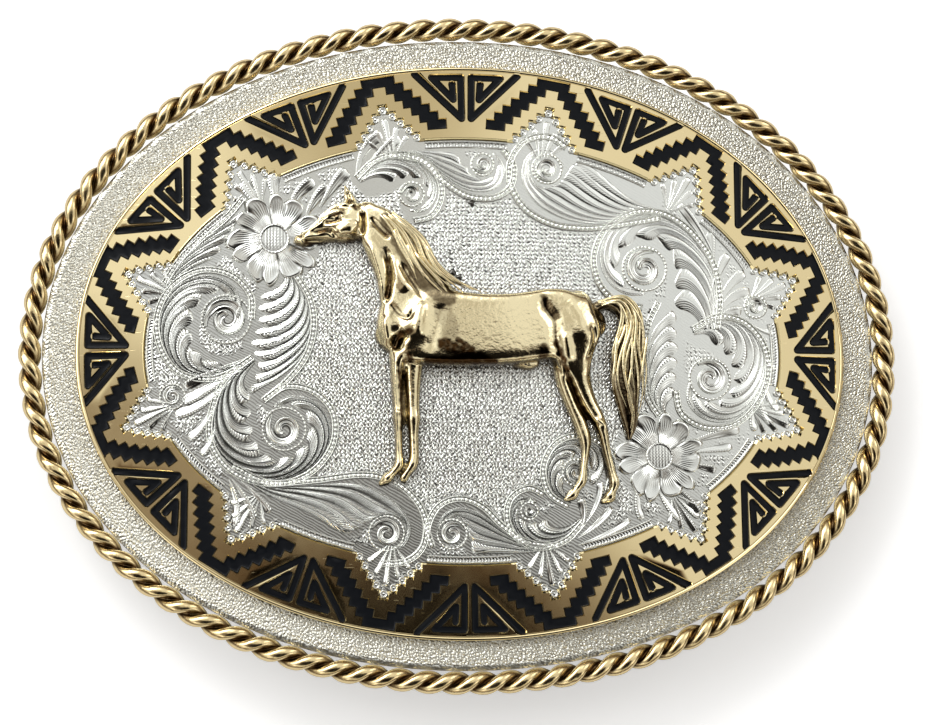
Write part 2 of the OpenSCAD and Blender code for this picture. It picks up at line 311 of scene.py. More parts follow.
def grown(outline, distance):
    """Outline with each side moved outwards by a distance, corners carried on to their mitre."""
    ahead = unit(np.roll(outline, -1, axis=0) - outline)
    behind = unit(outline - np.roll(outline, 1, axis=0))
    n0, n1 = -left_of(behind), -left_of(ahead)
    stretch = np.maximum(1 + np.sum(n0 * n1, -1, keepdims=True), 0.5)
    return outline + distance * (n0 + n1) / stretch


# Star points in one quarter: x and y, the way that the point faces, the radius that the
# star and its chevron are bent to, and their stretch along the band
STAR_PLACES = [
    (9.76, 28.46, 80.2, 77, 1.05),
    (27.07, 22.08, 57.6, 54, 1.0),
    (39.14, 9.08, 25.0, 32, 0.97),
]
# Spiral pairs in one quarter: x, y and direction of the pair's inner end, then the
# stretch of the pair along the band and across it
SPIRAL_PLACES = [
    (0, 26.57, 90, 1.02, 1.03),
    (17.93, 23.54, 70.9, 0.985, 1.02),
    (32.08, 14.52, 42.6, 1.0, 0.985),
    (38.47, 0, 0, 1.03, 0.9),
]
# Corners of one angular spiral: along the band and across it
SPIRAL_CORNERS = np.array([(5.83, 5.3), (0.55, 0.32), (0.6, 5.04), (3.9, 4.95), (1.48, 2.5), (1.6, 4.2)])
# Chevron: top, foot, half of its flat, step width and height, steps, strap, inner flat, inner step
CHEVRON_TOP, CHEVRON_FOOT, CHEVRON_FLAT = 3.12, 3.6, 1.7
CHEVRON_RUN, CHEVRON_RISE, CHEVRON_STEPS = 0.86, 0.945, 7
STRAP, INNER_FLAT, INNER_RUN = 1.08, 0.76, 0.81
# Star point: half of its flat, step width and height, steps, its tip and its hidden root
STAR_FLAT, STAR_RUN, STAR_RISE, STAR_STEPS, STAR_TIP, STAR_ROOT = 0.45, 0.81, 0.93, 5, -0.15, -7


def stairs(flat, top, run, rise, steps, low):
    """Staircase down and outwards from a flat, with its last drop to a lowest level."""
    return [(flat + k * run, low if k + e == steps else top - (k + e) * rise)
            for k in range(steps) for e in (0, 1)]


def mirrored(half):
    return np.array(half + [(-x, y) for x, y in half[::-1]])


def chevron_outline():
    outer = stairs(CHEVRON_FLAT, CHEVRON_TOP, CHEVRON_RUN, CHEVRON_RISE, CHEVRON_STEPS, -CHEVRON_FOOT)
    inner = stairs(INNER_FLAT, CHEVRON_TOP - STRAP, INNER_RUN, CHEVRON_RISE, CHEVRON_STEPS - 1, -CHEVRON_FOOT)
    return mirrored(outer + inner[::-1])


def star_outline():
    return mirrored(stairs(STAR_FLAT, STAR_TIP, STAR_RUN, STAR_RISE, STAR_STEPS, STAR_ROOT))


def bent(points, place):
    """Outline stretched along the band and bent round with it."""
    radius = place[3] + points[:, 1]
    angle = points[:, 0] * place[4] / place[3]
    return np.stack([radius * np.sin(angle), radius * np.cos(angle) - place[3]], -1)


def rounded_stroke(path, radius):
    """Outline of a line of even width: round ends, round outside corners, mitred inside ones."""
    def side(points):
        made = []
        for a, b, c in zip(points, points[1:], points[2:]):
            d0, d1 = unit(b - a), unit(c - b)
            turn = np.arctan2(d0[0] * d1[1] - d0[1] * d1[0], d0 @ d1)
            n0, n1 = left_of(d0), left_of(d1)
            if turn < 0:
                start = np.arctan2(n0[1], n0[0])
                made += [b + radius * heading(start + turn * k / 4) for k in range(5)]
            else:
                made.append(b + radius * (n0 + n1) / (1 + n0 @ n1))
        return made

    def cap(a, b):
        d = unit(b - a)
        start = np.arctan2(d[0], -d[1])
        return [b + radius * heading(start - np.pi * k / 6) for k in range(7)]

    back = path[::-1]
    return np.array(side(path) + cap(path[-2], path[-1]) + side(back) + cap(path[1], path[0]))


def copies(place):
    """Every mirrored copy of a place in the upper right quarter: its x and y, and its turn."""
    facing = np.radians(place[2])
    return [(np.array([sx * place[0], sy * place[1]]), np.arctan2(sy * np.sin(facing), sx * np.cos(facing)))
            for sx in ((1,) if place[0] == 0 else (1, -1)) for sy in ((1,) if place[1] == 0 else (1, -1))]


def put(outline, copy):
    middle, facing = copy
    turn = facing - np.pi / 2
    axes = np.array([[np.cos(turn), np.sin(turn)], [-np.sin(turn), np.cos(turn)]])
    return outline @ axes + middle


def star_copies():
    return [(place, copy) for place in STAR_PLACES for copy in copies(place)]


def chevrons():
    return [counter_clockwise(put(bent(chevron_outline(), place), copy)) for place, copy in star_copies()]


def spirals(line):
    """Both mirrored spirals of every pair."""
    made = []
    for place in SPIRAL_PLACES:
        outline = rounded_stroke(SPIRAL_CORNERS * place[3:5], line / 2)
        for copy in copies(place):
            made += [counter_clockwise(put(outline * side, copy)) for side in ([1, 1], [-1, 1])]
    return made


def oval_parameter(point, width, height, squareness):
    x, y = 2 * point[0] / width, 2 * point[1] / height
    return np.arctan2(np.sign(y) * abs(y) ** (squareness / 2), np.sign(x) * abs(x) ** (squareness / 2))


def opening_pieces(sizes):
    """The stars' outlines beyond the oval opening, and the oval's arcs between them."""
    width, height, power = sizes.opening_width / MM, sizes.opening_height / MM, sizes.squareness

    def beyond(p):
        return np.abs(2 * p[..., 0] / width) ** power + np.abs(2 * p[..., 1] / height) ** power - 1

    def crossing(inside, outside):
        for _ in range(30):
            middle = (inside + outside) / 2
            inside, outside = (middle, outside) if beyond(middle) < 0 else (inside, middle)
        return outside

    chains = []
    for place, copy in star_copies():
        star = put(bent(star_outline(), place), copy)
        star = np.roll(star, -len(star) // 2, axis=0)[::-1]
        out = np.flatnonzero(beyond(star) > 0)
        first, last = out[0], out[-1]
        chain = np.vstack([crossing(star[first - 1], star[first]), star[first:last + 1],
                           crossing(star[last + 1], star[last])])
        ends = [oval_parameter(chain[k], width, height, power) for k in (0, -1)]
        if (ends[1] - ends[0]) % (2 * np.pi) > np.pi:
            chain, ends = chain[::-1], ends[::-1]
        chains.append((ends[0] % (2 * np.pi), ends[1] % (2 * np.pi), chain))
    chains.sort(key=lambda c: c[0])
    arcs = []
    for (_, end, _), (following, _, _) in zip(chains, chains[1:] + chains[:1]):
        between = end + (following - end) % (2 * np.pi) * np.linspace(0, 1, 14)
        arcs.append(oval_at(between, width, height, power))
    return [chain for _, _, chain in chains], arcs


def star_opening(sizes):
    """The band's opening as one outline: the oval with the stars' outer parts let in."""
    return np.vstack([piece for chain, arc in zip(*opening_pieces(sizes)) for piece in (chain, arc[1:-1])])


def within(points, outlines):
    """True where a point lies inside an odd number of the outlines."""
    odd = np.zeros(len(points), bool)
    for outline in outlines:
        a, b = outline, np.roll(outline, -1, axis=0)
        above = (a[None, :, 1] > points[:, None, 1]) != (b[None, :, 1] > points[:, None, 1])
        slope = (b[:, 0] - a[:, 0]) / np.where(b[:, 1] == a[:, 1], 1, b[:, 1] - a[:, 1])
        at = a[None, :, 0] + (points[:, None, 1] - a[None, :, 1]) * slope[None]
        odd ^= (np.sum(above & (points[:, None, 0] < at), axis=1) % 2).astype(bool)
    return odd


def filled(outlines, spacing):
    """Flat triangles over what lies inside an odd number of outlines, with a lattice of points
    between them so that a curved surface stays smooth; gives points and corner numbers."""
    everything = np.vstack(outlines)
    low, high = everything.min(0), everything.max(0)
    lattice = np.meshgrid(*(np.arange(low[k], high[k], spacing) for k in (0, 1)))
    lattice = np.stack(lattice, -1).reshape(-1, 2)
    lattice[:, 0] += (np.arange(len(lattice)) % 2) * 0.01 * spacing
    lattice = lattice[within(lattice, outlines)]
    lattice = lattice[nearest(lattice, everything) > 0.3 * spacing]
    edges, start = [], 0
    for outline in outlines:
        n = len(outline)
        edges += [(start + k, start + (k + 1) % n) for k in range(n)]
        start += n
    flat = [Vector(p) for p in np.vstack([everything, lattice])]
    points, _, faces, _, _, _ = delaunay_2d_cdt(flat, edges, [], 0, 1e-6)
    points = np.array([p[:] for p in points])
    faces = np.array(faces)
    return points, faces[within(points[faces].mean(1), outlines)]


def wall(outline_heights, radius, **values):
    """Closed strip through outlines of equal count, each laid at its own height."""
    rings = [lay(o, h, radius) for o, h in outline_heights]
    points = np.stack(rings)
    return part(points, grid_faces(len(rings), len(outline_heights[0][0]), close_columns=True), **values)


def cover(outlines, height, radius, spacing=1.2, **values):
    points, faces = filled(outlines, spacing)
    return part(lay(points, height, radius), faces, **values)


# Shared shader effects

def add_node(tree, kind, values=(), links=(), **settings):
    """Adds a shader node, sets its fields, its sockets' values by name or number, and its links."""
    made = tree.nodes.new(kind)
    for field, value in settings.items():
        setattr(made, field, value)
    for socket, value in dict(values).items():
        made.inputs[socket].default_value = value
    for socket, source in dict(links).items():
        tree.links.new(source, made.inputs[socket])
    return made


def maths(tree, operation, first, second=None, third=None):
    """A Math node over sockets or numbers."""
    given = [v for v in (first, second, third) if v is not None]
    numbers = {k: v for k, v in enumerate(given) if isinstance(v, (int, float))}
    sockets = {k: v for k, v in enumerate(given) if not isinstance(v, (int, float))}
    return add_node(tree, "ShaderNodeMath", numbers, sockets, operation=operation).outputs[0]


def times(tree, first, second, plus=None):
    """First times second, plus a third where it is given."""
    return maths(tree, "MULTIPLY" if plus is None else "MULTIPLY_ADD", first, second, plus)


def noise(tree, place, scale, detail, **values):
    return add_node(tree, "ShaderNodeTexNoise", {"Scale": scale, "Detail": detail, **values},
                    {"Vector": place}).outputs["Fac"]


def split(tree, place):
    """The x and y of a place."""
    axes = add_node(tree, "ShaderNodeSeparateXYZ", links={0: place}).outputs
    return axes["X"], axes["Y"]


def new_group(name, inputs, outputs):
    """Empty shader group with named sockets: a kind and a default for each input."""
    tree = bpy.data.node_groups.new(name, "ShaderNodeTree")
    for label, (kind, default) in inputs.items():
        socket = tree.interface.new_socket(label, in_out="INPUT", socket_type=kind)
        if default is not None:
            socket.default_value = default
    for label, kind in outputs.items():
        tree.interface.new_socket(label, in_out="OUTPUT", socket_type=kind)
    entry = tree.nodes.new("NodeGroupInput").outputs
    leave = tree.nodes.new("NodeGroupOutput").inputs
    return tree, entry, leave


FLOAT, COLOUR, VECTOR = "NodeSocketFloat", "NodeSocketColor", "NodeSocketVector"


def hollow_dirt_group():
    """Dirt and painted shade lie where their mask is high, broken up by a fine noise."""
    tree, entry, leave = new_group(
        "Dirt and painted shade",
        {"Colour": (COLOUR, (0.8, 0.8, 0.8, 1)), "Shade and dirt colour": (COLOUR, (0.1, 0.1, 0.1, 1)), "Painted shade and dirt": (FLOAT, 0.0),
         "Place": (VECTOR, None), "Grain": (FLOAT, 3.0), "Amount": (FLOAT, 1.0)},
        {"Colour": COLOUR, "Mask": FLOAT})
    patches = add_node(tree, "ShaderNodeTexNoise", {"Detail": 3.0, "Roughness": 0.6},
                       {"Vector": entry["Place"], "Scale": entry["Grain"]})
    broken = times(tree, patches.outputs["Fac"], 0.7, -0.35)
    lifted = maths(tree, "ADD", entry["Painted shade and dirt"], times(tree, broken, entry["Painted shade and dirt"]))
    strength = times(tree, lifted, entry["Amount"])
    mask = add_node(tree, "ShaderNodeClamp", links={"Value": strength}).outputs[0]
    mix = add_node(tree, "ShaderNodeMix", links={0: mask, 6: entry["Colour"], 7: entry["Shade and dirt colour"]},
                   data_type="RGBA")
    tree.links.new(mix.outputs[2], leave["Colour"])
    tree.links.new(mask, leave["Mask"])
    return tree


def handling_group():
    """Marks of handling: smudges change the gloss, and fine hairlines run in two directions."""
    tree, entry, leave = new_group(
        "Handling marks",
        {"Place": (VECTOR, None), "Roughness": (FLOAT, 0.2), "Smudge": (FLOAT, 0.1),
         "Hairlines": (FLOAT, 1.0)},
        {"Roughness": FLOAT, "Height": FLOAT})
    smudge = noise(tree, entry["Place"], 0.16, 4.0, Roughness=0.55)
    change = times(tree, maths(tree, "SUBTRACT", smudge, 0.5), entry["Smudge"])
    tree.links.new(maths(tree, "ADD", entry["Roughness"], change), leave["Roughness"])
    lines = []
    for turn in (0.35, 1.9):
        turned = add_node(tree, "ShaderNodeMapping", {"Rotation": (0, 0, turn), "Scale": (0.22, 7.0, 1.0)},
                          {"Vector": entry["Place"]})
        lines.append(maths(tree, "GREATER_THAN", noise(tree, turned.outputs[0], 1.0, 2.0), 0.74))
    tree.links.new(times(tree, maths(tree, "ADD", *lines), entry["Hairlines"]), leave["Height"])
    return tree


def stipple_group():
    """Short raised strokes in rows: a cell pattern, stretched and slanted, over the texture place."""
    tree, entry, leave = new_group(
        "Stipple", {"Place": (VECTOR, None), "Pitch": (FLOAT, 0.3), "Slant": (FLOAT, 0.5)}, {"Height": FLOAT})
    scale = maths(tree, "DIVIDE", 1.0, entry["Pitch"])
    x, y = split(tree, entry["Place"])
    slanted = times(tree, y, entry["Slant"], x)
    stretched = times(tree, y, 0.95)
    where = add_node(tree, "ShaderNodeCombineXYZ", links={0: slanted, 1: stretched}).outputs[0]
    cells = add_node(tree, "ShaderNodeTexVoronoi", {"Randomness": 1.0, "Smoothness": 0.35},
                     {"Vector": where, "Scale": scale}, feature="SMOOTH_F1", voronoi_dimensions="2D")
    grain = add_node(tree, "ShaderNodeTexNoise", {"Detail": 2.0},
                     {"Vector": where, "Scale": times(tree, scale, 1.7)})
    height = maths(tree, "SUBTRACT", times(tree, grain.outputs["Fac"], 0.5),
                   cells.outputs["Distance"])
    tree.links.new(height, leave["Height"])
    return tree


def wriggle_group():
    """Rows of small zigzag cuts: a wave across the rows whose line sways along them, and how deep each
    place of it lies."""
    tree, entry, leave = new_group(
        "Wriggle rows", {"Place": (VECTOR, None), "Pitch": (FLOAT, 0.42)}, {"Height": FLOAT, "Depth": FLOAT})
    x, y = split(tree, entry["Place"])
    turn = maths(tree, "DIVIDE", 6.2832, entry["Pitch"])
    loose = noise(tree, entry["Place"], 0.9, 3.0)
    drift = times(tree, maths(tree, "SUBTRACT", loose, 0.5), 15.0)
    sway = maths(tree, "SINE", maths(tree, "ADD", times(tree, x, turn), drift))
    loose = times(tree, noise(tree, entry["Place"], 1.3, 2.0), 9.0)
    across = times(tree, y, turn, loose)
    rows = maths(tree, "SINE", times(tree, sway, 1.5, across))
    cells = times(tree, times(tree, sway, rows), 0.8, rows)
    height = times(tree, noise(tree, entry["Place"], 3.5, 3.0), 1.6, cells)
    tree.links.new(height, leave["Height"])
    deep = add_node(tree, "ShaderNodeMapRange", {"From Min": 1.0, "From Max": -0.8}, {"Value": height})
    tree.links.new(deep.outputs[0], leave["Depth"])
    return tree


GROUP_MAKERS = {"Dirt and painted shade": hollow_dirt_group, "Handling marks": handling_group,
                "Stipple": stipple_group, "Wriggle rows": wriggle_group}
GROUPS = {}


def use_group(tree, name, values=(), links=()):
    """Places a shared effect, which is built the first time that it is asked for."""
    if name not in GROUPS:
        GROUPS[name] = GROUP_MAKERS[name]()
    return add_node(tree, "ShaderNodeGroup", values, links, node_tree=GROUPS[name]).outputs


def new_material(name, colour, roughness, metallic=1.0):
    """Material with its Principled shader and the object place in millimetres."""
    material = bpy.data.materials.new(name)
    material.use_nodes = True
    tree = material.node_tree
    shader = tree.nodes["Principled BSDF"]
    shader.inputs["Base Color"].default_value = (*colour, 1)
    shader.inputs["Roughness"].default_value = roughness
    shader.inputs["Metallic"].default_value = metallic
    place = add_node(tree, "ShaderNodeTexCoord").outputs["Object"]
    place = add_node(tree, "ShaderNodeVectorMath", {1: (1 / MM,) * 3}, {0: place}, operation="MULTIPLY")
    return material, tree, shader, place.outputs[0]


def bump(tree, shader, height, distance):
    """Height in units of the distance, which is in millimetres."""
    made = add_node(tree, "ShaderNodeBump", {"Distance": distance * MM, "Strength": 1.0}, {"Height": height})
    tree.links.new(made.outputs[0], shader.inputs["Normal"])


def attribute(tree, name):
    return add_node(tree, "ShaderNodeAttribute", attribute_name=name).outputs["Fac"]


def surface_place(tree):
    return add_node(tree, "ShaderNodeUVMap", uv_map="surface").outputs[0]


def shaded_and_dirty(tree, shader, place, colour, dirt_and_shade, grain, amount, hollow=None):
    """Base colour darkened by painted shade and dirt where their mask asks for it."""
    hollow = attribute(tree, "hollow") if hollow is None else hollow
    made = use_group(tree, "Dirt and painted shade", {"Colour": (*colour, 1), "Shade and dirt colour": (*dirt_and_shade, 1), "Grain": grain,
                                           "Amount": amount}, {"Painted shade and dirt": hollow, "Place": place})
    tree.links.new(made["Colour"], shader.inputs["Base Color"])


def handled(tree, shader, place, roughness, smudge, hairlines):
    """Roughness with smudges, and the height of the hairlines."""
    marks = use_group(tree, "Handling marks",
                      {"Roughness": roughness, "Smudge": smudge, "Hairlines": hairlines}, {"Place": place})
    tree.links.new(marks["Roughness"], shader.inputs["Roughness"])
    return marks["Height"]


def band_gold_material(finishes):
    material, tree, shader, place = new_material("band gold", finishes.band_gold, 0.09)
    # Painted shade with some tarnish in the groove and on the wall of the rolled edge, and on the recess
    # floors
    shaded_and_dirty(tree, shader, place, finishes.band_gold, finishes.tarnish_and_shade, 1.6, 0.8)
    bump(tree, shader, handled(tree, shader, place, 0.09, 0.14, 1.0), -0.002)
    return material


def rope_gold_material(finishes):
    material, tree, shader, place = new_material("rope gold", finishes.rope_gold, 0.2)
    handled(tree, shader, place, 0.2, 0.2, 0.5)
    # Painted shade with some tarnish in the valleys between the strands
    shaded_and_dirty(tree, shader, place, finishes.rope_gold, finishes.tarnish_and_shade, 1.2, 1.0)
    bump(tree, shader, noise(tree, place, 1.3, 3.0), 0.03)
    return material


def border_silver_material(finishes):
    material, tree, shader, place = new_material("stippled silver", finishes.border_silver, 0.3)
    stipple = use_group(tree, "Stipple", {"Pitch": 0.27, "Slant": 0.35}, {"Place": surface_place(tree)})
    # Painted shade: darker in the rolled edge under the rope and towards the lower right; slightly darker all
    # over
    shaded_and_dirty(tree, shader, place, finishes.border_silver, finishes.oxide_and_shade, 0.9, 0.7)
    bump(tree, shader, times(tree, stipple["Height"], attribute(tree, "stippled")), 0.16)
    return material


def enamel_material(finishes):
    material, tree, shader, place = new_material("black enamel", finishes.enamel, 0.3, metallic=0.0)
    shader.inputs["Specular IOR Level"].default_value = 0.12
    bump(tree, shader, noise(tree, place, 0.7, 3.0), 0.05)
    return material


def horse_gold_material(finishes):
    material, tree, shader, place = new_material("cast gold", finishes.horse_gold, 0.13)
    handled(tree, shader, place, 0.13, 0.14, 0.4)
    # Painted shade and painted dark reflections, with some tarnish: creases, steep sides, the dark patches
    # and the low sides of the locks
    shaded_and_dirty(tree, shader, place, finishes.horse_gold, finishes.tarnish_and_shade, 1.5, 1.0)
    bump(tree, shader, noise(tree, place, 2.0, 4.0), 0.035)
    return material


def back_silver_material(finishes):
    material, tree, shader, place = new_material("plain silver", finishes.back_silver, 0.34)
    bump(tree, shader, handled(tree, shader, place, 0.34, 0.2, 1.0), -0.004)
    return material


def ground_silver_material(finishes):
    """Rows of wriggle cuts in the open ground, and fine flowing lines in the bed where the scrolls stand.
    Painted shade and oxide darken the cut valleys and the whole bed, more towards the lower left.
    """
    material, tree, shader, place = new_material("lined silver", finishes.silver, 0.22)
    bed, depth = attribute(tree, "bed"), attribute(tree, "depth")
    rows = use_group(tree, "Wriggle rows", {"Pitch": 0.50}, {"Place": place})
    x, y = split(tree, place)
    slope = times(tree, x, 10.0, times(tree, y, 17.0))
    fine = maths(tree, "SINE", times(tree, noise(tree, place, 0.25, 2.0), 26.0, slope))

    def either(open_ground, in_bed):
        mixed = add_node(tree, "ShaderNodeMix", links={0: bed, 2: open_ground, 3: in_bed}).outputs[0]
        return times(tree, mixed, depth)

    # Painted shade and oxide in the valleys of the rows, and evenly over the bed; scaled by depth, so darker
    # towards the lower left
    hollow = either(rows["Depth"], times(tree, fine, -0.05, 0.40))
    shaded_and_dirty(tree, shader, place, finishes.silver, finishes.oxide_and_shade, 2.0, 0.75, hollow)
    bump(tree, shader, either(rows["Height"], times(tree, fine, 0.05)), 0.034)
    return material


def cut_silver_material(finishes):
    """Bright cuts: lines along the stems and hatching across the lips, each where its own mask asks for
    it; the surface map holds millimetres along and across."""
    material, tree, shader, place = new_material("bright-cut silver", finishes.silver, 0.2)
    along, across = split(tree, surface_place(tree))

    def lines(value, pitch, mask):
        wave = maths(tree, "SINE", times(tree, value, 6.2832 / pitch))
        return times(tree, wave, attribute(tree, mask))

    hatch = lines(times(tree, across, 0.5, along), 0.32, "hatched")
    veins = lines(across, 0.28, "lined")
    height = times(tree, hatch, 1.6, veins)
    cuts = times(tree, veins, 0.6, hatch)
    # Painted shade from the pieces' mask, darker in the valleys of the cut lines
    hollow = times(tree, cuts, -0.35, attribute(tree, "hollow"))
    shaded_and_dirty(tree, shader, place, finishes.silver, finishes.oxide_and_shade, 1.1, 1.0, maths(tree, "MAXIMUM", hollow, 0.0))
    bump(tree, shader, height, 0.016)
    return material


# Rope edge

ROPE_STRANDS = 2
RINGS_PER_CREST = 16
SIDES_PER_STRAND = 18


def strand_section(radius):
    """Distance from the rope's middle to the outside of two touching strands, by direction: each strand
    is an oval, wider round the rope because it runs aslant."""
    middle = radius * 0.46
    thick = radius - middle
    broad = thick * 1.2
    sides = ROPE_STRANDS * SIDES_PER_STRAND
    turn = (np.arange(sides) / SIDES_PER_STRAND + 0.5) % 1 - 0.5
    direction = turn * 2 * np.pi / ROPE_STRANDS
    a = np.cos(direction) ** 2 / thick ** 2 + np.sin(direction) ** 2 / broad ** 2
    b = middle * np.cos(direction) / thick ** 2
    c = middle ** 2 / thick ** 2 - 1
    return (b + np.sqrt(np.maximum(b * b - a * c, 0))) / a


class BUCKLE_OT_rope_edge(Builder, bpy.types.Operator):
    """Twisted rope: a two-strand section carried round the oval, turned by one strand each crest"""

    bl_idname = "buckle.rope_edge"
    bl_label = "Rope edge"

    def build(self, sizes, finishes):
        radius, curve = sizes.rope_diameter / MM / 2, sizes.curve_radius / MM
        count = sizes.rope_crests * RINGS_PER_CREST
        middle, _ = even_oval(BUCKLE_W - 2 * radius, BUCKLE_H - 2 * radius, sizes.squareness, count)
        along = unit(np.roll(middle, -1, axis=0) - np.roll(middle, 1, axis=0))
        outward = -left_of(along)
        section = strand_section(radius)
        ring = np.arange(count)[:, None] / RINGS_PER_CREST
        side = np.arange(len(section))[None, :] / SIDES_PER_STRAND
        angle = (side + ring) * 2 * np.pi / ROPE_STRANDS
        worn = 1 + 0.012 * np.sin(ring * 1.7) + 0.01 * np.sin(ring * 0.61 + 2 * side)
        reach = np.minimum(section[None, :] * worn, radius)
        centre = lay(middle, BACK + radius, curve)
        flat = centre[:, None, :2] + reach[..., None] * np.cos(angle)[..., None] * outward[:, None, :]
        points = np.concatenate([flat, (centre[:, None, 2] + reach * np.sin(angle))[..., None]], -1)
        # Painted shade with some tarnish in the valleys between the strands
        hollow = np.clip((radius * 0.80 - section) / (radius * 0.22), 0, 1)[None, :] + 0 * ring
        faces = grid_faces(count, len(section), True, True)
        made = make_mesh("rope_edge_gold", [part(points, faces, hollow=hollow)], keep=["hollow"])
        place_piece(made, "rope_gold", rope_gold_material(finishes), "rope_edge")


# Base plate

# Rolled edge of the border: how much smaller than the plate, drop below the border, and share of stipple
BORDER_ROLL = [
    (1.3, 0.004, 0.6),
    (1.0, 0.016, 0.35),
    (0.75, 0.034, 0.3),
    (0.5, 0.056, 0.3),
    (0.25, 0.08, 0.3),
    (0.08, 0.10, 0.3),
    (0, 0.15, 0),
]
PLATE_STEPS = 360


class BUCKLE_OT_base_plate(Builder, bpy.types.Operator):
    """Base plate: rings from the middle of the front over the dished border to the middle of the back"""

    bl_idname = "buckle.base_plate"
    bl_label = "Base plate"

    def build(self, sizes, finishes):
        curve, count, under = sizes.curve_radius / MM, PLATE_STEPS, PLATE_W - BAND_W
        # How much smaller than the plate across, height, and share of stipple
        rings = [(PLATE_W - 4, SEAT, 0)]
        rings += [(less, SEAT, 0) for less in np.linspace(PLATE_W - 8, under + 0.4, 11)]
        rings += [(under, SEAT, 0), (under - 0.05, BORDER, 0)]
        rings += [(less, BORDER, 1) for less in np.linspace(under - 0.1, 1.5, 8)]
        rings += [(less, BORDER - drop, share) for less, drop, share in BORDER_ROLL]
        rings += [(0, BACK + 0.2, 0), (0.1, BACK + 0.06, 0), (0.4, BACK, 0)]
        rings += [(less, BACK, 0) for less in np.linspace(4, PLATE_W - 4, 11)]
        outlines, lengths = [], []
        for less, height, _ in rings:
            wide = PLATE_W - less
            high = PLATE_H * (wide / PLATE_W) if less > under + 1 else PLATE_H - less
            outline, length = even_oval(wide, high, sizes.squareness, count)
            outlines.append(lay(outline, height, curve))
            lengths.append(length)
        points = np.stack(outlines)
        less, _, share = np.array(rings, float).T
        uv = np.flip(grid_uv(less / 2, np.linspace(0, lengths[14], count + 1)), axis=-1)
        # Painted shade: darker in the rolled edge beside and under the rope, slightly darker everywhere, and
        # darker towards the lower right
        hollow = np.where((less >= 0) & (less < 0.6), 0.25, 0.08)[:, None]
        hollow = hollow + np.clip(0.18 * points[..., 0] / 51 - 0.24 * points[..., 1] / 39, 0, 1)
        parts = [part(points, grid_faces(len(rings), count, close_columns=True), uv,
                      stippled=np.repeat(share, count), hollow=hollow)]
        for k, height in ((0, SEAT), (-1, BACK)):
            centre = lay(np.zeros((1, 2)), height, curve)
            fan = np.stack([np.arange(count), (np.arange(count) + 1) % count, np.full(count, count)], -1)
            parts.append(part(np.vstack([outlines[k], centre]), fan))
        made = make_mesh("plate_silver", parts, keep=["stippled", "hollow"], sharp=35, merge=True)
        place_piece(made, "stippled_silver", border_silver_material(finishes), "base_plate")


# Gold band and its enamel

# Rolled outer edge of the band: inset, height, and how dark its painted shade is
BAND_ROLL = [
    (0.5, 0, 0),
    (0.44, -0.04, 0.5),
    (0.40, -0.04, 0.5),
    (0.35, 0, 0),
    (0.25, 0.03, 0),
    (0.14, 0.01, 0),
    (0.05, -0.05, 0),
    (0.01, -0.12, 0.3),
    (0, -0.2, 0.6),
    (0, -BAND_T, 0.6),
]
RECESS = 0.4


class BUCKLE_OT_gold_band(Builder, bpy.types.Operator):
    """Gold band: a flat top between its outlines, a rolled edge, sloping walls and recesses for enamel"""

    bl_idname = "buckle.gold_band"
    bl_label = "Gold band"

    def build(self, sizes, finishes):
        curve = sizes.curve_radius / MM
        opening = star_opening(sizes)
        star_bevel, recess_bevel = sizes.star_bevel / MM, sizes.recess_bevel / MM
        outer, _ = even_oval(BAND_W, BAND_H, sizes.squareness, 480)
        recesses = chevrons() + spirals(sizes.spiral_line / MM)
        top = grown(outer, -0.5)
        mouth, sill = grown(opening, star_bevel / 2), grown(opening, -star_bevel / 2)
        rims = [grown(r, recess_bevel) for r in recesses]
        dark = np.repeat([row[2] for row in BAND_ROLL], len(outer))
        parts = [cover([top, mouth] + rims, 0, curve),
                 wall([(grown(outer, -inset), height) for inset, height, _ in BAND_ROLL], curve, hollow=dark),
                 wall([(mouth, 0), (sill, FIELD), (sill, -BAND_T)], curve),
                 cover([outer, sill], -BAND_T, curve, 3)]
        parts += [wall([(rim, 0), (recess, -0.17), (recess, -RECESS)], curve)
                  for rim, recess in zip(rims, recesses)]
        # Recess floors are painted fully dark as shade under the enamel
        parts.append(cover(recesses, -RECESS, curve, 3, hollow=1.0))
        made = make_mesh("band_gold", parts, keep=["hollow"], sharp=24, merge=True)
        place_piece(made, "band_gold", band_gold_material(finishes), "gold_band")


class BUCKLE_OT_enamel(Builder, bpy.types.Operator):
    """Enamel: each recess is filled to a little below the gold, with a slightly sunken surface"""

    bl_idname = "buckle.enamel"
    bl_label = "Enamel"

    def build(self, sizes, finishes):
        curve, surface = sizes.curve_radius / MM, -sizes.enamel_sink / MM
        foot = 0.025 - RECESS
        material = enamel_material(finishes)
        kinds = {"zigzag": chevrons(), "spiral": spirals(sizes.spiral_line / MM)}
        for name, outlines in kinds.items():
            sides = [grown(outline, -0.01) for outline in outlines]
            slopes = [grown(outline, -0.04) for outline in outlines]
            shores = [grown(outline, -0.09) for outline in outlines]
            parts = [wall([(shore, surface - 0.045), (slope, surface - 0.02), (side, surface + 0.01),
                           (side, foot)], curve) for shore, slope, side in zip(shores, slopes, sides)]
            parts.append(cover(shores, surface - 0.045, curve, 0.5))
            parts.append(cover(sides, foot, curve, 3))
            made = make_mesh(name + "_black", parts, sharp=50, merge=True)
            place_piece(made, "black_enamel", material, name + "_enamel")


# Engraved field

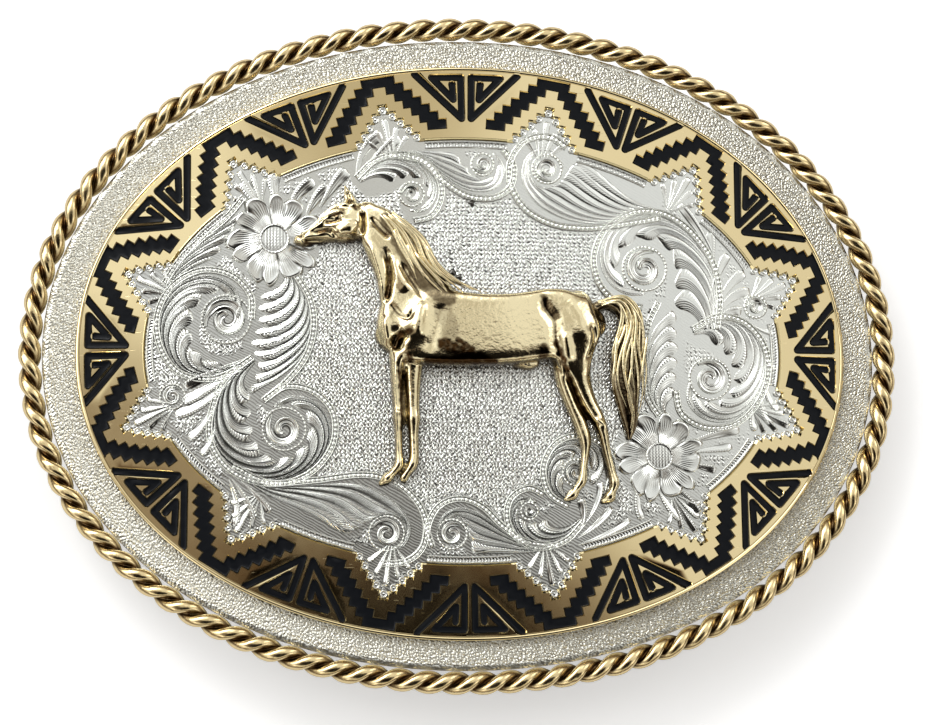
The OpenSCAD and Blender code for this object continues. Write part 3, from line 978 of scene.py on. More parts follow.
# Bands of lobes, each a plume that curls up into a scroll: its number of lobes, how far each trails back
# along it and where the first head lies, as shares of its length, then points along its stem and its heads
LOBE_BANDS = {
    "scroll at the left": (
        8, 0.5, 0.12,
        [(-25.8, -1.8), (-29.2, -3), (-32.6, -2.2), (-34.6, 0.8), (-34.8, 4.2), (-33.2, 7.2), (-30.2, 8.8),
         (-27, 8.2), (-25, 6), (-24.9, 3.4)],
        [(-25.4, -0.8), (-28.2, -1.2), (-30.2, -0.4), (-31, 1.2), (-31, 3.4), (-30.4, 5.2), (-28.8, 6.4),
         (-27.2, 6), (-26.6, 4.6), (-26.4, 3.2)]),
    "column right of it": (
        9, 0.45, 0.12,
        [(-20, 8.6), (-18.2, 5.4), (-17.9, 2.2), (-18.8, -0.8), (-20.8, -3.4), (-23.4, -5.6)],
        [(-22.6, 8.2), (-23.9, 5.6), (-24, 3), (-24.8, 0.6), (-24, -1.6), (-24.9, -4.9)]),
    "scroll at the lower left": (
        11, 0.38, 0.1,
        [(-24.2, -1.2), (-27, -3.4), (-28.5, -6.6), (-28.8, -10), (-27.3, -12.8), (-24.6, -14.5),
         (-21, -14.9), (-17.8, -13.6), (-15.7, -10.8), (-15.6, -7.6), (-17.5, -5.3), (-20.4, -4.6),
         (-22.6, -5.9)],
        [(-23.9, -2.4), (-24.5, -4.4), (-24.4, -6.4), (-24.3, -8.4), (-23.7, -10.6), (-22.2, -12.1),
         (-20.4, -11.9), (-18.9, -10.9), (-18.3, -9.2), (-18.5, -7.6), (-19.6, -6.7), (-21, -6.5),
         (-22, -6.9)]),
    "plume along the bottom": (
        5, 0.85, 0.5,
        [(-26.8, -13.6), (-22.6, -15.5), (-17.4, -15.3), (-12, -14.7), (-8.6, -15.5), (-6.2, -17.5),
         (-5.2, -20), (-5.6, -22.4), (-7.4, -23.8), (-10, -24)],
        [(-25.6, -15.2), (-22.2, -18.2), (-17.4, -19.9), (-13.6, -21), (-11.6, -19.7), (-9.8, -18.7),
         (-8.2, -18.9), (-7.3, -20.2), (-7.4, -21.8), (-8.6, -22.8)]),
    "second scroll at the bottom": (
        5, 0.75, 0.42,
        [(10.2, -22.7), (6.6, -22.3), (3.8, -20.6), (1.4, -18.3), (-1, -17.4), (-3.2, -18.2), (-4.3, -20.4),
         (-3.8, -22.4)],
        [(7.4, -24), (3.2, -24.2), (0.5, -23.2), (-0.1, -20.9), (-0.6, -19.5), (-1.9, -19.2), (-3.1, -20),
         (-3.4, -21.4)]),
    "third scroll at the bottom": (
        6, 0.55, 0.28,
        [(12.8, -19.4), (10.8, -21.4), (8, -22.2), (5.7, -21.2), (4.7, -19.2), (5.1, -17.2), (6.8, -16.2),
         (8.4, -16.9)],
        [(11.4, -17.6), (9.9, -18.5), (8.6, -19.3), (7, -19.6), (5.8, -19), (5.8, -17.9), (6.8, -17.4),
         (7.6, -17.6)]),
    "rings under the hind legs": (
        6, 0.5, 0.12,
        [(11.6, -17.6), (9.5, -16.2), (8.9, -13.6), (10, -11.2), (12.2, -10.2), (14.8, -10.9),
         (16.2, -13.2), (15.6, -16)],
        [(12.1, -15.6), (11.2, -15.2), (10.8, -14), (11.2, -12.9), (12.3, -12.4), (13.5, -12.9),
         (13.9, -14), (13.5, -15.2)]),
    "scroll at the top left": (
        7, 0.6, 0.2,
        [(-12.4, 19.6), (-10.4, 21.5), (-7.6, 22.3), (-5, 21.5), (-3.5, 19.6), (-3.3, 17.6), (-4.3, 15.8),
         (-6.2, 15.2)],
        [(-11.2, 18.4), (-9.8, 18.7), (-7.9, 19.5), (-6, 19.7), (-4.8, 18.8), (-4.7, 17.4), (-5.6, 16.4),
         (-6.8, 16.4)]),
    "plume at the top": (
        6, 0.75, 0.38,
        [(-9.4, 22.9), (-5.2, 22.3), (-2.8, 20.2), (0, 18.3), (2.8, 18), (4.8, 19.2), (5.1, 21.4),
         (4, 23.2)],
        [(-6.4, 23.7), (-2, 23.5), (-0.5, 22), (0.7, 20.5), (2.2, 20), (3.3, 20.8), (3.5, 22.1),
         (2.7, 23.1)]),
    "plume over the back": (
        8, 0.85, 0.4,
        [(22.6, 16.1), (18, 15.2), (13.8, 14.7), (10, 15.1), (7, 16.8), (5.4, 19.6), (5.6, 22.2),
         (7.2, 24.2), (9.6, 24.6), (11.5, 23.5)],
        [(21.8, 17.8), (17.2, 20.9), (13, 22.2), (11.6, 20.2), (10, 18.9), (8.5, 19.2), (7.4, 20.6),
         (7.5, 22.2), (8.7, 23.2), (10.2, 23.1)]),
    "scroll at the right": (
        9, 0.45, 0.1,
        [(28.8, 2.8), (29.2, 6.4), (28.6, 10.2), (26.4, 13.6), (23.2, 15.8), (19.6, 15.9), (16.4, 13.9),
         (15.1, 10.8), (15.8, 7.8), (17.8, 6), (20.4, 5.5)],
        [(25, 2.4), (23.9, 5.2), (24, 7.8), (24.1, 10.2), (23, 12.2), (20.8, 12.9), (18.9, 12.2),
         (17.9, 10.6), (18.1, 8.8), (19.3, 7.5), (21, 7.2)]),
    "scroll at the lower right": (
        9, 0.42, 0.1,
        [(26.4, 2.4), (29.4, 3.9), (32.4, 3.3), (34.5, 0.8), (34.8, -2.4), (33.5, -5.6), (30.9, -7.9),
         (27.7, -8.3), (25.1, -6.9), (24.5, -4.4)],
        [(26.6, 1.4), (28.6, 0.9), (30, -0.4), (30.8, -2.2), (30.6, -4), (29.4, -5.2), (27.8, -5.4),
         (26.6, -4.8), (26.1, -3.8), (26.2, -2.8)]),
    "fan left of the upper flower": (
        5, 0.55, 0.1,
        [(-34.2, 7.4), (-32.4, 10.2), (-30, 12.6), (-27.4, 14.8), (-25.2, 17.4)],
        [(-30.4, 9.9), (-28.6, 10.6), (-27.6, 12), (-26.8, 13.6), (-25.4, 15.6)]),
    "column left of it": (
        6, 0.45, 0.1,
        [(22.4, -7.2), (21.1, -5), (20.9, -2.2), (20.9, 0.8), (21.4, 3.2), (22.6, 5.6)],
        [(23.8, -6.6), (24.2, -4.4), (24.5, -1.8), (24.7, 0.6), (24.5, 2.8), (24.5, 4.6)]),
}
# Eyes of the scrolls: x and y, radius of the beaded ring, and where the curl starts in degrees, going
# round to the left where the ring's last column is 1
EYES = [
    (-27.4, 3.5, 2.75, 200, -1),
    (-20.8, -9.1, 2.4, 130, 1),
    (-9.3, -20.9, 1.95, 160, -1),
    (-1.9, -21.0, 1.65, 30, 1),
    (6.9, -18.4, 0.95, 0, -1),
    (12.3, -14.0, 1.5, 250, -1),
    (-6.3, 18.0, 1.4, 180, -1),
    (1.9, 21.6, 1.3, 200, 1),
    (9.4, 21.2, 1.7, -70, -1),
    (20.7, 9.7, 2.55, 60, 1),
    (28.2, -3.0, 2.4, 130, -1),
    (-33.4, -5.3, 1.4, 40, 1),
    (33.9, 5.6, 1.3, 190, -1),
]

# Free leaves: x and y of the root, the bend and the tip, and the widest half-width
LEAVES = [
    # Fan from the left stem to the small curl
    (-25.4, -1.2, -28.8, -2.6, -32.2, -4.3, 0.80),
    (-25.8, -2.0, -29.0, -4.4, -32.4, -6.0, 0.90),
    (-26.6, -3.2, -29.6, -6.6, -33.2, -7.4, 0.85),
    (-28.4, -6.0, -29.6, -8.6, -31.6, -10.2, 0.80),
    (-28.6, -8.8, -28.9, -10.6, -30.2, -12.0, 0.70),
    # Foot of the bottom plume
    (-27.0, -14.8, -25.6, -17.4, -26.4, -20.2, 0.75),
    (-26.6, -14.8, -24.6, -17.4, -24.2, -19.4, 0.75),
    (-25.6, -15.0, -23.0, -17.2, -22.4, -18.6, 0.60),
    # Between the lower scrolls and the flower
    (12.6, -20.6, 13.6, -18.6, 12.6, -16.9, 0.70),
    (12.4, -21.4, 15.0, -20.0, 16.4, -17.8, 0.70),
    (12.4, -22.2, 16.2, -21.2, 18.6, -19.2, 0.65),
    (13.4, -19.6, 15.4, -17.0, 15.0, -15.0, 0.60),
    # Fan at the upper right
    (28.4, 6.0, 29.4, 10.0, 30.8, 11.8, 0.70),
    (28.8, 4.6, 30.6, 8.6, 32.8, 9.6, 0.80),
    (28.8, 3.6, 30.4, 7.2, 33.4, 7.4, 0.80),
    (28.6, 2.8, 30.2, 5.4, 32.3, 5.0, 0.75),
    (29.2, 10.6, 27.8, 14.2, 24.8, 17.6, 0.80),
    (28.8, 8.6, 28.8, 12.0, 28.6, 14.4, 0.70),
    # Over the plume at the top left
    (-12.6, 20.4, -12.2, 23.8, -9.6, 25.0, 0.95),
    (-12.2, 20.2, -10.0, 22.8, -7.6, 24.8, 0.90),
    # Right-hand rim
    (33.6, 3.4, 34.8, 2.6, 36.2, 2.6, 0.50),
    (34.8, -0.4, 35.4, -1.0, 36.2, -1.8, 0.50),
    (34.8, -3.0, 34.8, -5.4, 36.6, -6.6, 0.65),
    (34.4, -4.0, 34.0, -6.6, 35.6, -8.2, 0.65),
    (33.4, -5.8, 32.8, -7.6, 33.6, -9.0, 0.60),
    # Round the flower at the upper left
    (-20.4, 15.6, -19.8, 18.2, -17.4, 19.6, 1.05),
    (-18.4, 15.2, -17.6, 17.6, -15.6, 18.9, 1.05),
    (-16.8, 16.4, -15.2, 19.4, -13.6, 20.8, 1.05),
    (-22.6, 16.0, -24.6, 17.4, -25.6, 19.6, 1.05),
    (-21.6, 16.4, -22.4, 18.6, -22.0, 20.4, 1.05),
    # Between the flower at the lower right and the rim
    (25.0, -10.8, 28.0, -9.4, 31.8, -8.8, 0.75),
    (25.2, -11.6, 28.2, -11.2, 30.8, -10.8, 0.65),
    (25.0, -12.8, 27.2, -13.2, 28.8, -13.6, 0.65),
    (23.6, -15.2, 25.2, -16.6, 26.6, -18.8, 0.75),
    (21.8, -15.8, 22.6, -17.6, 24.6, -19.4, 0.65),
    (19.6, -15.4, 19.0, -17.4, 20.0, -19.4, 0.65),
]

# Flowers: x and y of the middle, radius over the petals, radius of the disc, turn
FLOWERS = [
    (-22.0, 12.7, 5.6, 1.78, 9),
    (22.0, -12.1, 5.4, 1.65, 1),
]
PETALS = 6

# Black specks of tarnish on the ground: x and y, and radius
SPECKS = [
    (0.2, 17.7, 0.38),
    (0.6, 17.0, 0.42),
    (-1.7, 8.9, 0.50),
    (-0.9, 8.4, 0.40),
    (21.3, 4.7, 0.36),
    (22.0, 5.2, 0.24),
]

# Leaves inside each star point, in the star's own frame: root, bend, tip, half-width, and the sides that
# each stands on
STAR_LEAVES = [
    (0.0, -6.2, 0.1, -3.6, 0.0, -1.55, 0.52, (1,)),
    (0.3, -6.2, 0.7, -4.2, 1.35, -2.75, 0.46, (-1, 1)),
    (0.5, -6.2, 1.5, -4.9, 2.45, -4.0, 0.42, (-1, 1)),
]


def curve_through(root, bend, tip, steps):
    """Leaf spines as quadratic curves: rows of root, bend and tip give points and their left-hand sides."""
    s = np.linspace(0, 1, steps)[None, :, None]
    root, bend, tip = (np.asarray(p, float)[:, None, :] for p in (root, bend, tip))
    spine = (1 - s) ** 2 * root + 2 * s * (1 - s) * bend + s ** 2 * tip
    ahead = unit(2 * (1 - s) * (bend - root) + 2 * s * (tip - bend) + 1e-9)
    return spine, left_of(ahead)


def cut_depth_and_shade(flat):
    """How deep the cuts are, and how strongly they are painted with shade: full at the lower left, down to a
    fifth at the upper right.
    """
    return np.clip(0.78 - 0.026 * (0.6 * flat[..., 0] + flat[..., 1]), 0.2, 1.5)


def bead_strip(spine, closed, half_width, curve, pitch=None):
    """Raised line with a rounded section, beaded where it is given a pitch."""
    if closed:
        left = left_of(unit(np.roll(spine, -1, axis=0) - np.roll(spine, 1, axis=0)))
    else:
        left = sides_of(spine)
    wave = np.ones((len(spine), 1))
    if pitch:
        length = length_along(spine)
        whole = length[-1] + (length[1] if closed else 0)
        wave = np.abs(np.sin(np.pi * length * max(round(whole / pitch), 1) / whole))[:, None]
    v = np.linspace(-1, 1, 7)[None, :]
    flat = spine[:, None, :] + (v * half_width)[..., None] * left[:, None, :]
    body = np.clip(1 - v ** 2, 0, 1) ** 0.6
    height = FIELD + RELIEF * (0.2 + 0.75 * body * (0.25 + 0.75 * wave) - 0.5 * (np.abs(v) > 0.99))
    # Painted shade between the beads and along the edges, stronger where the cuts are deeper
    hollow = np.clip(0.9 - body * (0.3 + 1.2 * wave), 0, 1) * np.minimum(cut_depth_and_shade(flat), 1)
    faces = grid_faces(len(spine), 7, close_rows=closed)[:, ::-1]
    return part(lay(flat, height, curve), faces, hollow=hollow)


def stacked_faces(count, rows, columns):
    """Corner numbers of equal grids that are numbered one after the other."""
    starts = np.arange(count) * rows * columns
    return (grid_faces(rows, columns)[None] + starts[:, None, None]).reshape(-1, 4)


# Section of a leaf, from its inner side: a deep cut, a crest, a smooth scoop, a ridge and a hatched lip;
# place across it, height, and how dark its painted shade and oxide are
LEAF_SECTION = [
    (-1.0, -0.40, 1.0),
    (-0.92, 0.10, 0.9),
    (-0.84, 0.42, 0.5),
    (-0.66, 0.46, 0.0),
    (-0.40, 0.46, 0.0),
    (-0.10, 0.50, 0.0),
    (0.16, 0.62, 0.0),
    (0.36, 0.82, 0.0),
    (0.48, 0.96, 0.0),
    (0.56, 0.84, 0.75),
    (0.64, 0.92, 0.0),
    (0.80, 0.82, 0.0),
    (0.92, 0.60, 0.30),
    (1.0, -0.45, 1.0),
]
LEAF_STEPS = 24


def leaf_parts(root, bend, tip, half_width, hand, lift, curve):
    """Cut leaves: each swells from its root to a round head and has the leaf section across it."""
    v, crest, dark = np.array(LEAF_SECTION).T
    spine, left = curve_through(root, bend, tip, LEAF_STEPS)
    s = np.linspace(0, 1, LEAF_STEPS)[None, :]
    swell = (0.14 + 0.86 * s ** 1.05) * np.sqrt(np.clip(1 - s ** 10, 0, 1))
    width = (np.asarray(half_width)[:, None] * swell)[..., None]
    hand = np.asarray(hand, float)[:, None, None]
    flat = spine[:, :, None, :] + (v * hand * width)[..., None] * left[:, :, None, :]
    s = s[..., None]
    end = np.sqrt(np.clip(1 - s ** 14, 0, 1))
    deep = np.exp(-((s - 0.76) / 0.13) ** 2) * np.clip(-(v + 0.30) / 0.3, 0, 1)
    depth = cut_depth_and_shade(flat)
    carved = (crest * (0.30 + 0.70 * s ** 0.6) - 0.3 * deep) * (0.3 + 0.7 * np.minimum(depth, 1))
    height = FIELD + RELIEF * ((lift + carved) * end - 0.4 * (1 - end))
    faces = stacked_faces(len(spine), LEAF_STEPS, len(v))
    turned = np.repeat(hand[:, 0, 0], len(faces) // len(spine)) > 0
    faces = np.where(turned[:, None], faces[:, ::-1], faces)
    length = np.linalg.norm(np.diff(spine, axis=1), axis=2).cumsum(1)
    length = np.concatenate([np.zeros((len(spine), 1)), length], 1)[..., None]
    grid = np.stack([length + 0 * v, v * width], -1).reshape(-1, 2)
    hatched = ((v > 0.55) & (v < 0.97)) * depth * np.clip(s * 4 - 0.4, 0, 1)
    lined = ((v > -0.95) & (v < 0.45)) * depth * np.clip(1.1 - 1.2 * s, 0.2, 1)
    # Painted shade and oxide in the cuts and the deep crescent, stronger where the cuts are deeper
    hollow = np.clip(dark * (0.35 + 0.65 * s ** 0.5) + deep, 0, 1) * np.minimum(depth, 1)
    return part(lay(flat, height, curve), faces, grid[faces], hatched=hatched, lined=lined, hollow=hollow)


def along_line(line, t):
    """Points at shares t of the way along a smooth line."""
    fine = smooth_line(line, 240)
    length = length_along(fine)
    return np.stack([np.interp(t * length[-1], length, fine[:, k]) for k in (0, 1)], -1)


# Section of a lobe, from its inner side: a deep cut, a smooth scoop, a ridge and a hatched lip; place
# across it, height, and how dark its painted shade and oxide are
LOBE_SECTION = [
    (0, -0.25, 1.0),
    (0.035, 0.0, 1.0),
    (0.09, 0.14, 0.9),
    (0.20, 0.12, 0.5),
    (0.34, 0.20, 0.1),
    (0.48, 0.38, 0.0),
    (0.60, 0.64, 0.0),
    (0.69, 0.88, 0.0),
    (0.75, 1.0, 0.0),
    (0.78, 0.84, 0.9),
    (0.82, 0.92, 0.0),
    (0.90, 0.86, 0.0),
    (0.96, 0.66, 0.50),
    (1.0, -0.25, 1.0),
]
LOBE_STEPS = 28


def lobe_band(count, slip, first, stem, heads, curve):
    """Lobes side by side over the band between a stem and a line of heads. Each starts at a round head
    and trails back to the stem as a thin line, with the lobe section across it. The far slip of a plume
    also bends its lobes and hooks their heads."""
    across, crest, dark = np.array(LOBE_SECTION).T
    lobe, s, v = np.meshgrid(np.arange(count), np.linspace(0, 1, LOBE_STEPS) ** 1.2, across, indexing="ij")
    share, extra = (lobe + v) / count, max(slip - 0.6, 0)
    t = np.clip(first + (1 - first) * (lobe + v) / count - slip * s ** (1.5 - 1.2 * extra), 0, 1)
    reach = np.sin(np.pi / 2 * s) ** (0.85 + 4.5 * extra * (1 - share))
    reach = reach + (1 - reach) * 0.34 * (1 - np.sqrt(1 - 0.98 * (2 * v - 1) ** 2)) * (1 - s) ** 2
    flat = along_line(heads, t) * (1 - reach)[..., None] + along_line(stem, t) * reach[..., None]
    rise = np.interp(s, [0, 0.15, 0.6, 1], [0.85, 1, 0.8, 0.45])
    end = np.sqrt(np.clip(1 - (1 - s) ** 14, 0, 1))
    deep = np.exp(-((s - 0.28) / 0.18) ** 2) * np.clip((0.34 - v) / 0.2, 0, 1)
    depth = cut_depth_and_shade(flat)
    carved = (crest * rise - 0.3 * deep) * (0.1 + 0.9 * np.minimum(depth, 1))
    height = FIELD + RELIEF * ((0.2 + carved) * end - 0.4 * (1 - end))
    faces = stacked_faces(count, LOBE_STEPS, len(across))
    ring = flat.reshape(-1, 2)[faces]
    a, b = ring[:, 2] - ring[:, 0], ring[:, 3] - ring[:, 1]
    if np.sum(a[:, 0] * b[:, 1] - a[:, 1] * b[:, 0]) < 0:
        faces = faces[:, ::-1]
    u = np.concatenate([0 * s[:, :1], np.linalg.norm(np.diff(flat, axis=1), axis=-1).cumsum(1)], 1)
    w = np.concatenate([0 * s[..., :1], np.linalg.norm(np.diff(flat, axis=2), axis=-1).cumsum(2)], 2)
    grid = np.stack([u, w], -1).reshape(-1, 2)
    hatched = ((v > 0.79) & (v < 0.97)) * np.clip(1.5 - 2 * s, 0, 1) * depth
    lined = ((v > 0.05) & (v < 0.72)) * np.clip(0.5 + 1.5 * s, 0, 1) * depth
    # Painted shade over the scoops where the cuts are deepest, towards the lower left
    scoop = np.interp(v, [0.05, 0.2, 0.45, 0.6], [0.2, 1, 0.7, 0]) * np.clip(depth - 0.9, 0, 1)
    hollow = np.clip((dark * (0.4 + 0.6 * rise) + deep) * np.clip(depth * 1.1, 0, 1) + scoop, 0, 1)
    return part(lay(flat, height, curve), faces, grid[faces], hatched=hatched, lined=lined, hollow=hollow)


def rim_parts(curve):
    """A raised line and a beaded line along every stem, and the beaded ring and the curl of every eye."""
    made = []
    for *_, stem, heads in LOBE_BANDS.values():
        length = length_along(smooth_line(stem, 60))[-1]
        spine = along_line(stem, np.linspace(0, 1, int(length / 0.52) * 6 + 1))
        left = sides_of(spine)
        inward = along_line(heads, np.linspace(0, 1, len(spine))) - spine
        away = -np.sign(np.sum(left * inward))
        for offset, half_width, pitch in ((0.06, 0.13, None), (0.38, 0.2, 0.52), (0.68, 0.1, None)):
            made.append(bead_strip(spine + away * offset * left, False, half_width, curve, pitch))
    for x, y, radius, start, sense in EYES:
        middle, pitch = np.array([x, y]), 0.44
        ring = around(middle, radius, full_turn(int(2 * np.pi * radius / pitch) * 6))
        made.append(bead_strip(ring, True, 0.16, curve, pitch))
        made.append(eye_part(middle, radius - 0.2, np.radians(start), sense, curve))
    return made


def eye_part(middle, radius, start, sense, curve):
    """Curl in the eye: a hooked band that winds in and fills the ring, high along its outer side, and ends
    in a drop."""
    steps, across = 60, 11
    s = np.linspace(0, 1, steps)
    angle = start + sense * 2 * np.pi * 1.35 * s
    spine = around(middle, radius * np.interp(s, [0, 0.1, 1], [0.95, 0.78, 0.16]), angle)
    width = radius * np.interp(s, [0, 0.15, 0.5, 0.88, 0.96, 1], [0.06, 0.25, 0.28, 0.26, 0.18, 0.02])
    v = np.linspace(-1, 1, across)[None, :]
    side = v * width[:, None]
    flat = spine[:, None, :] + side[..., None] * sides_of(spine)[:, None, :]
    outer = -sense * v
    profile = np.interp(outer, [-1, -0.8, -0.3, 0.2, 0.6, 0.85, 1], [-0.2, 0.2, 0.2, 0.5, 0.95, 0.85, -0.2])
    # Painted shade along both edges of the curl
    dark = np.interp(outer, [-1, -0.75, -0.5, 0.6, 0.9, 1], [1.0, 0.9, 0.1, 0, 0.3, 1.0])
    height = FIELD + RELIEF * (0.2 + profile) + 0 * flat[..., 0]
    faces = grid_faces(steps, across)[:, ::-1]
    uv = np.stack([length_along(spine)[:, None] + 0 * v, side], -1).reshape(-1, 2)
    return part(lay(flat, height, curve), faces, uv[faces], lined=1.0 + 0 * flat[..., 0],
                hollow=dark * np.minimum(cut_depth_and_shade(flat), 1))


def flower_parts(curve):
    """Flowers: petals that meet in creases, each of two round lobes with a hooked notch between them and
    rays from the disc, and a domed, ruled disc with a beaded ring."""
    made = []
    s = np.linspace(0, 1, 24)[:, None]
    v = np.linspace(-1, 1, 41)[None, :]
    lobe = np.sqrt(1 - 0.98 * np.abs(v) ** 3) - 0.30 * np.exp(-(v / 0.17) ** 2)
    crest = np.interp(s, [0, 0.35, 0.8, 0.93, 1], [0.75, 0.45, 0.75, 0.9, -0.4])
    notch = np.exp(-(v / 0.10) ** 2) * np.clip(s * 2.4 - 1.2, 0, 1)
    groove = notch + np.exp(-((np.abs(v) - 1) / 0.07) ** 2)
    height = FIELD + RELIEF * (0.30 + crest * (0.8 + 0.2 * lobe) - 0.45 * groove)
    lined = 0.9 * np.clip(1.5 - 1.9 * s, 0, 1) + 0 * v
    faces = grid_faces(24, 41)
    for x, y, radius, disc, turn in FLOWERS:
        middle = np.array([x, y])
        for k in range(PETALS):
            tip = radius * (0.56 + (0.42 + 0.05 * np.sin(5 * k + 4 * v)) * lobe)
            reach = disc * 0.9 + (tip - disc * 0.9) * s
            angle = np.radians(turn + 360 * k / PETALS + 30 * v + 8.0 * (1 - v ** 2) * s ** 4)
            flat = around(middle, reach, angle)
            uv = np.stack([reach, v * 2.1 + 0 * reach], -1).reshape(-1, 2)
            # Painted shade: rays of it across each petal, and darkness in the creases, the notches and at the
            # tips
            shade = 0.30 * (0.5 + 0.5 * np.sin(9 * v + 2 * k)) * np.exp(-((s - 0.55) / 0.3) ** 2)
            dark = (0.75 * groove + 0.8 * (s > 0.97)) * np.minimum(cut_depth_and_shade(flat), 0.8)
            made.append(part(lay(flat, height, curve), faces, uv[faces], lined=lined,
                             hollow=np.clip(dark + shade, 0, 1)))
        made.append(disc_part(middle, disc, curve))
    return made


def round_part(flat, height, hollow, curve):
    """Round shape over the face, from rings of points that go from its middle out."""
    faces = grid_faces(*flat.shape[:2], close_columns=True)[:, ::-1]
    full = np.zeros(flat.shape[:2])
    return part(lay(flat, height + full, curve), faces, hollow=hollow + full)


def disc_part(middle, radius, curve):
    """Disc of a flower: a low dome with ruled ridges, then a beaded ring."""
    r, a = np.linspace(0.02, 1, 26)[:, None], full_turn(72)[None, :]
    flat = around(middle, radius * r, a)
    pitch = 0.36
    grid = np.sin(2 * np.pi * flat[..., 0] / pitch) * (0.7 + 0.3 * np.sin(2 * np.pi * flat[..., 1] / pitch))
    inside = np.clip((0.84 - r) * 14, 0, 1)
    ring = np.exp(-((r - 0.9) / 0.05) ** 2) * (0.7 + 0.5 * np.cos(26 * a))
    lift = 1.2 + 0.15 * (1 - r ** 2) + 0.10 * grid * inside + 0.35 * ring
    groove = np.exp(-((r - 0.81) / 0.03) ** 2) * 0.8
    # Painted shade between the ruled ridges and in the groove; the edge is painted dark below
    hollow = np.clip(np.maximum(0.35 * inside * (0.4 - grid), groove), 0, 1)
    return round_part(flat, FIELD + RELIEF * np.where(r > 0.985, -0.2, lift),
                      np.maximum(hollow, (r > 0.975) * 1.0), curve)


def speck_parts(curve):
    """Low dark caps with a wavy edge."""
    made = []
    a, share = full_turn(20)[None, :], np.array([0.05, 0.5, 0.85, 1.0])[:, None]
    for x, y, radius in SPECKS:
        reach = radius * share * (1 + 0.22 * np.sin(3 * a + 9 * x) + 0.15 * np.sin(5 * a + y))
        flat = around(np.array([x, y]), reach, a)
        made.append(round_part(flat, FIELD + 0.16 - 0.25 * share ** 4, 1.0, curve))
    return made


def star_fill(curve):
    """Inside of each star point: scalloped domes beside the steps and a plume of leaves."""
    made, root, bend, tip, width, hand = [], [], [], [], [], []
    r, a = np.linspace(0.05, 1, 7)[:, None], full_turn(18)[None, :]
    height = FIELD + RELIEF * np.interp(r, [0, 0.35, 0.6, 0.75, 0.9, 1], [0.5, 0.35, 0.35, 0.95, 0.8, -0.3])
    # Painted shade round the domes
    hollow = np.interp(r, [0, 0.3, 0.6, 0.7, 0.9, 1], [0, 0.2, 0.5, 0.0, 0.1, 1.0])
    for place, copy in star_copies():
        for k in range(STAR_STEPS):
            for side in (-1, 1) if k else (-1,):
                at = np.array([side * (STAR_FLAT + (k - 0.35) * STAR_RUN) * (k > 0),
                               STAR_TIP - 0.62 - (k - 0.1) * STAR_RISE * (k > 0)])
                local = around(at, 0.47 * r, a)
                flat = put(bent(local.reshape(-1, 2), place), copy).reshape(local.shape)
                made.append(round_part(flat, height, hollow, curve))
        for *row, half_width, sides in STAR_LEAVES:
            for side in sides:
                points = put(bent(np.array(row).reshape(3, 2) * [side, 1], place), copy)
                for ends, point in zip((root, bend, tip), points):
                    ends.append(point)
                width.append(half_width)
                hand.append(side)
    made.append(leaf_parts(root, bend, tip, width, hand, 0.25, curve))
    return made


# Section of the milled strip: distance from the opening's edge, height, and how dark its painted shade is
MILLED_SECTION = [
    (0.02, -0.2, 1.0),
    (0.08, 0.8, 0.0),
    (0.15, 0.8, 0.0),
    (0.2, 0.45, 0.6),
    (0.3, 0.4, 0.1),
    (0.45, 0.4, 0.1),
    (0.6, 0.4, 0.1),
    (0.66, 0.45, 0.6),
    (0.72, 0.8, 0.0),
    (0.80, 0.8, 0.0),
    (0.86, -0.2, 1.0),
]
MILLED_PITCH = 0.36


def milled_strips(sizes, curve):
    """Milled strip between the star points: two raised lines with slanting cuts between them."""
    made = []
    across, profile, dark = np.array(MILLED_SECTION).T
    between = (across > 0.18) & (across < 0.68)
    for arc in opening_pieces(sizes)[1]:
        spine = smooth_line(arc, int(length_along(arc)[-1] / 0.14))[4:-4]
        flat = spine[:, None, :] + (0.2 + across)[None, :, None] * sides_of(spine)[:, None, :]
        length = length_along(spine)[:, None]
        cuts = np.cos(2 * np.pi * (length + across * 0.5) / MILLED_PITCH) * between
        height = FIELD + RELIEF * (profile + 0.4 * cuts)
        faces = grid_faces(len(spine), len(across))[:, ::-1]
        # Painted shade in the grooves of the section and between the slanting cuts
        made.append(part(lay(flat, height, curve), faces, hollow=np.clip(dark - 0.55 * cuts, 0, 1)))
    return made


# Half-width and half-height of the open field, beyond which everything is bed
OPEN_FIELD = np.array([34.5, 22.6])


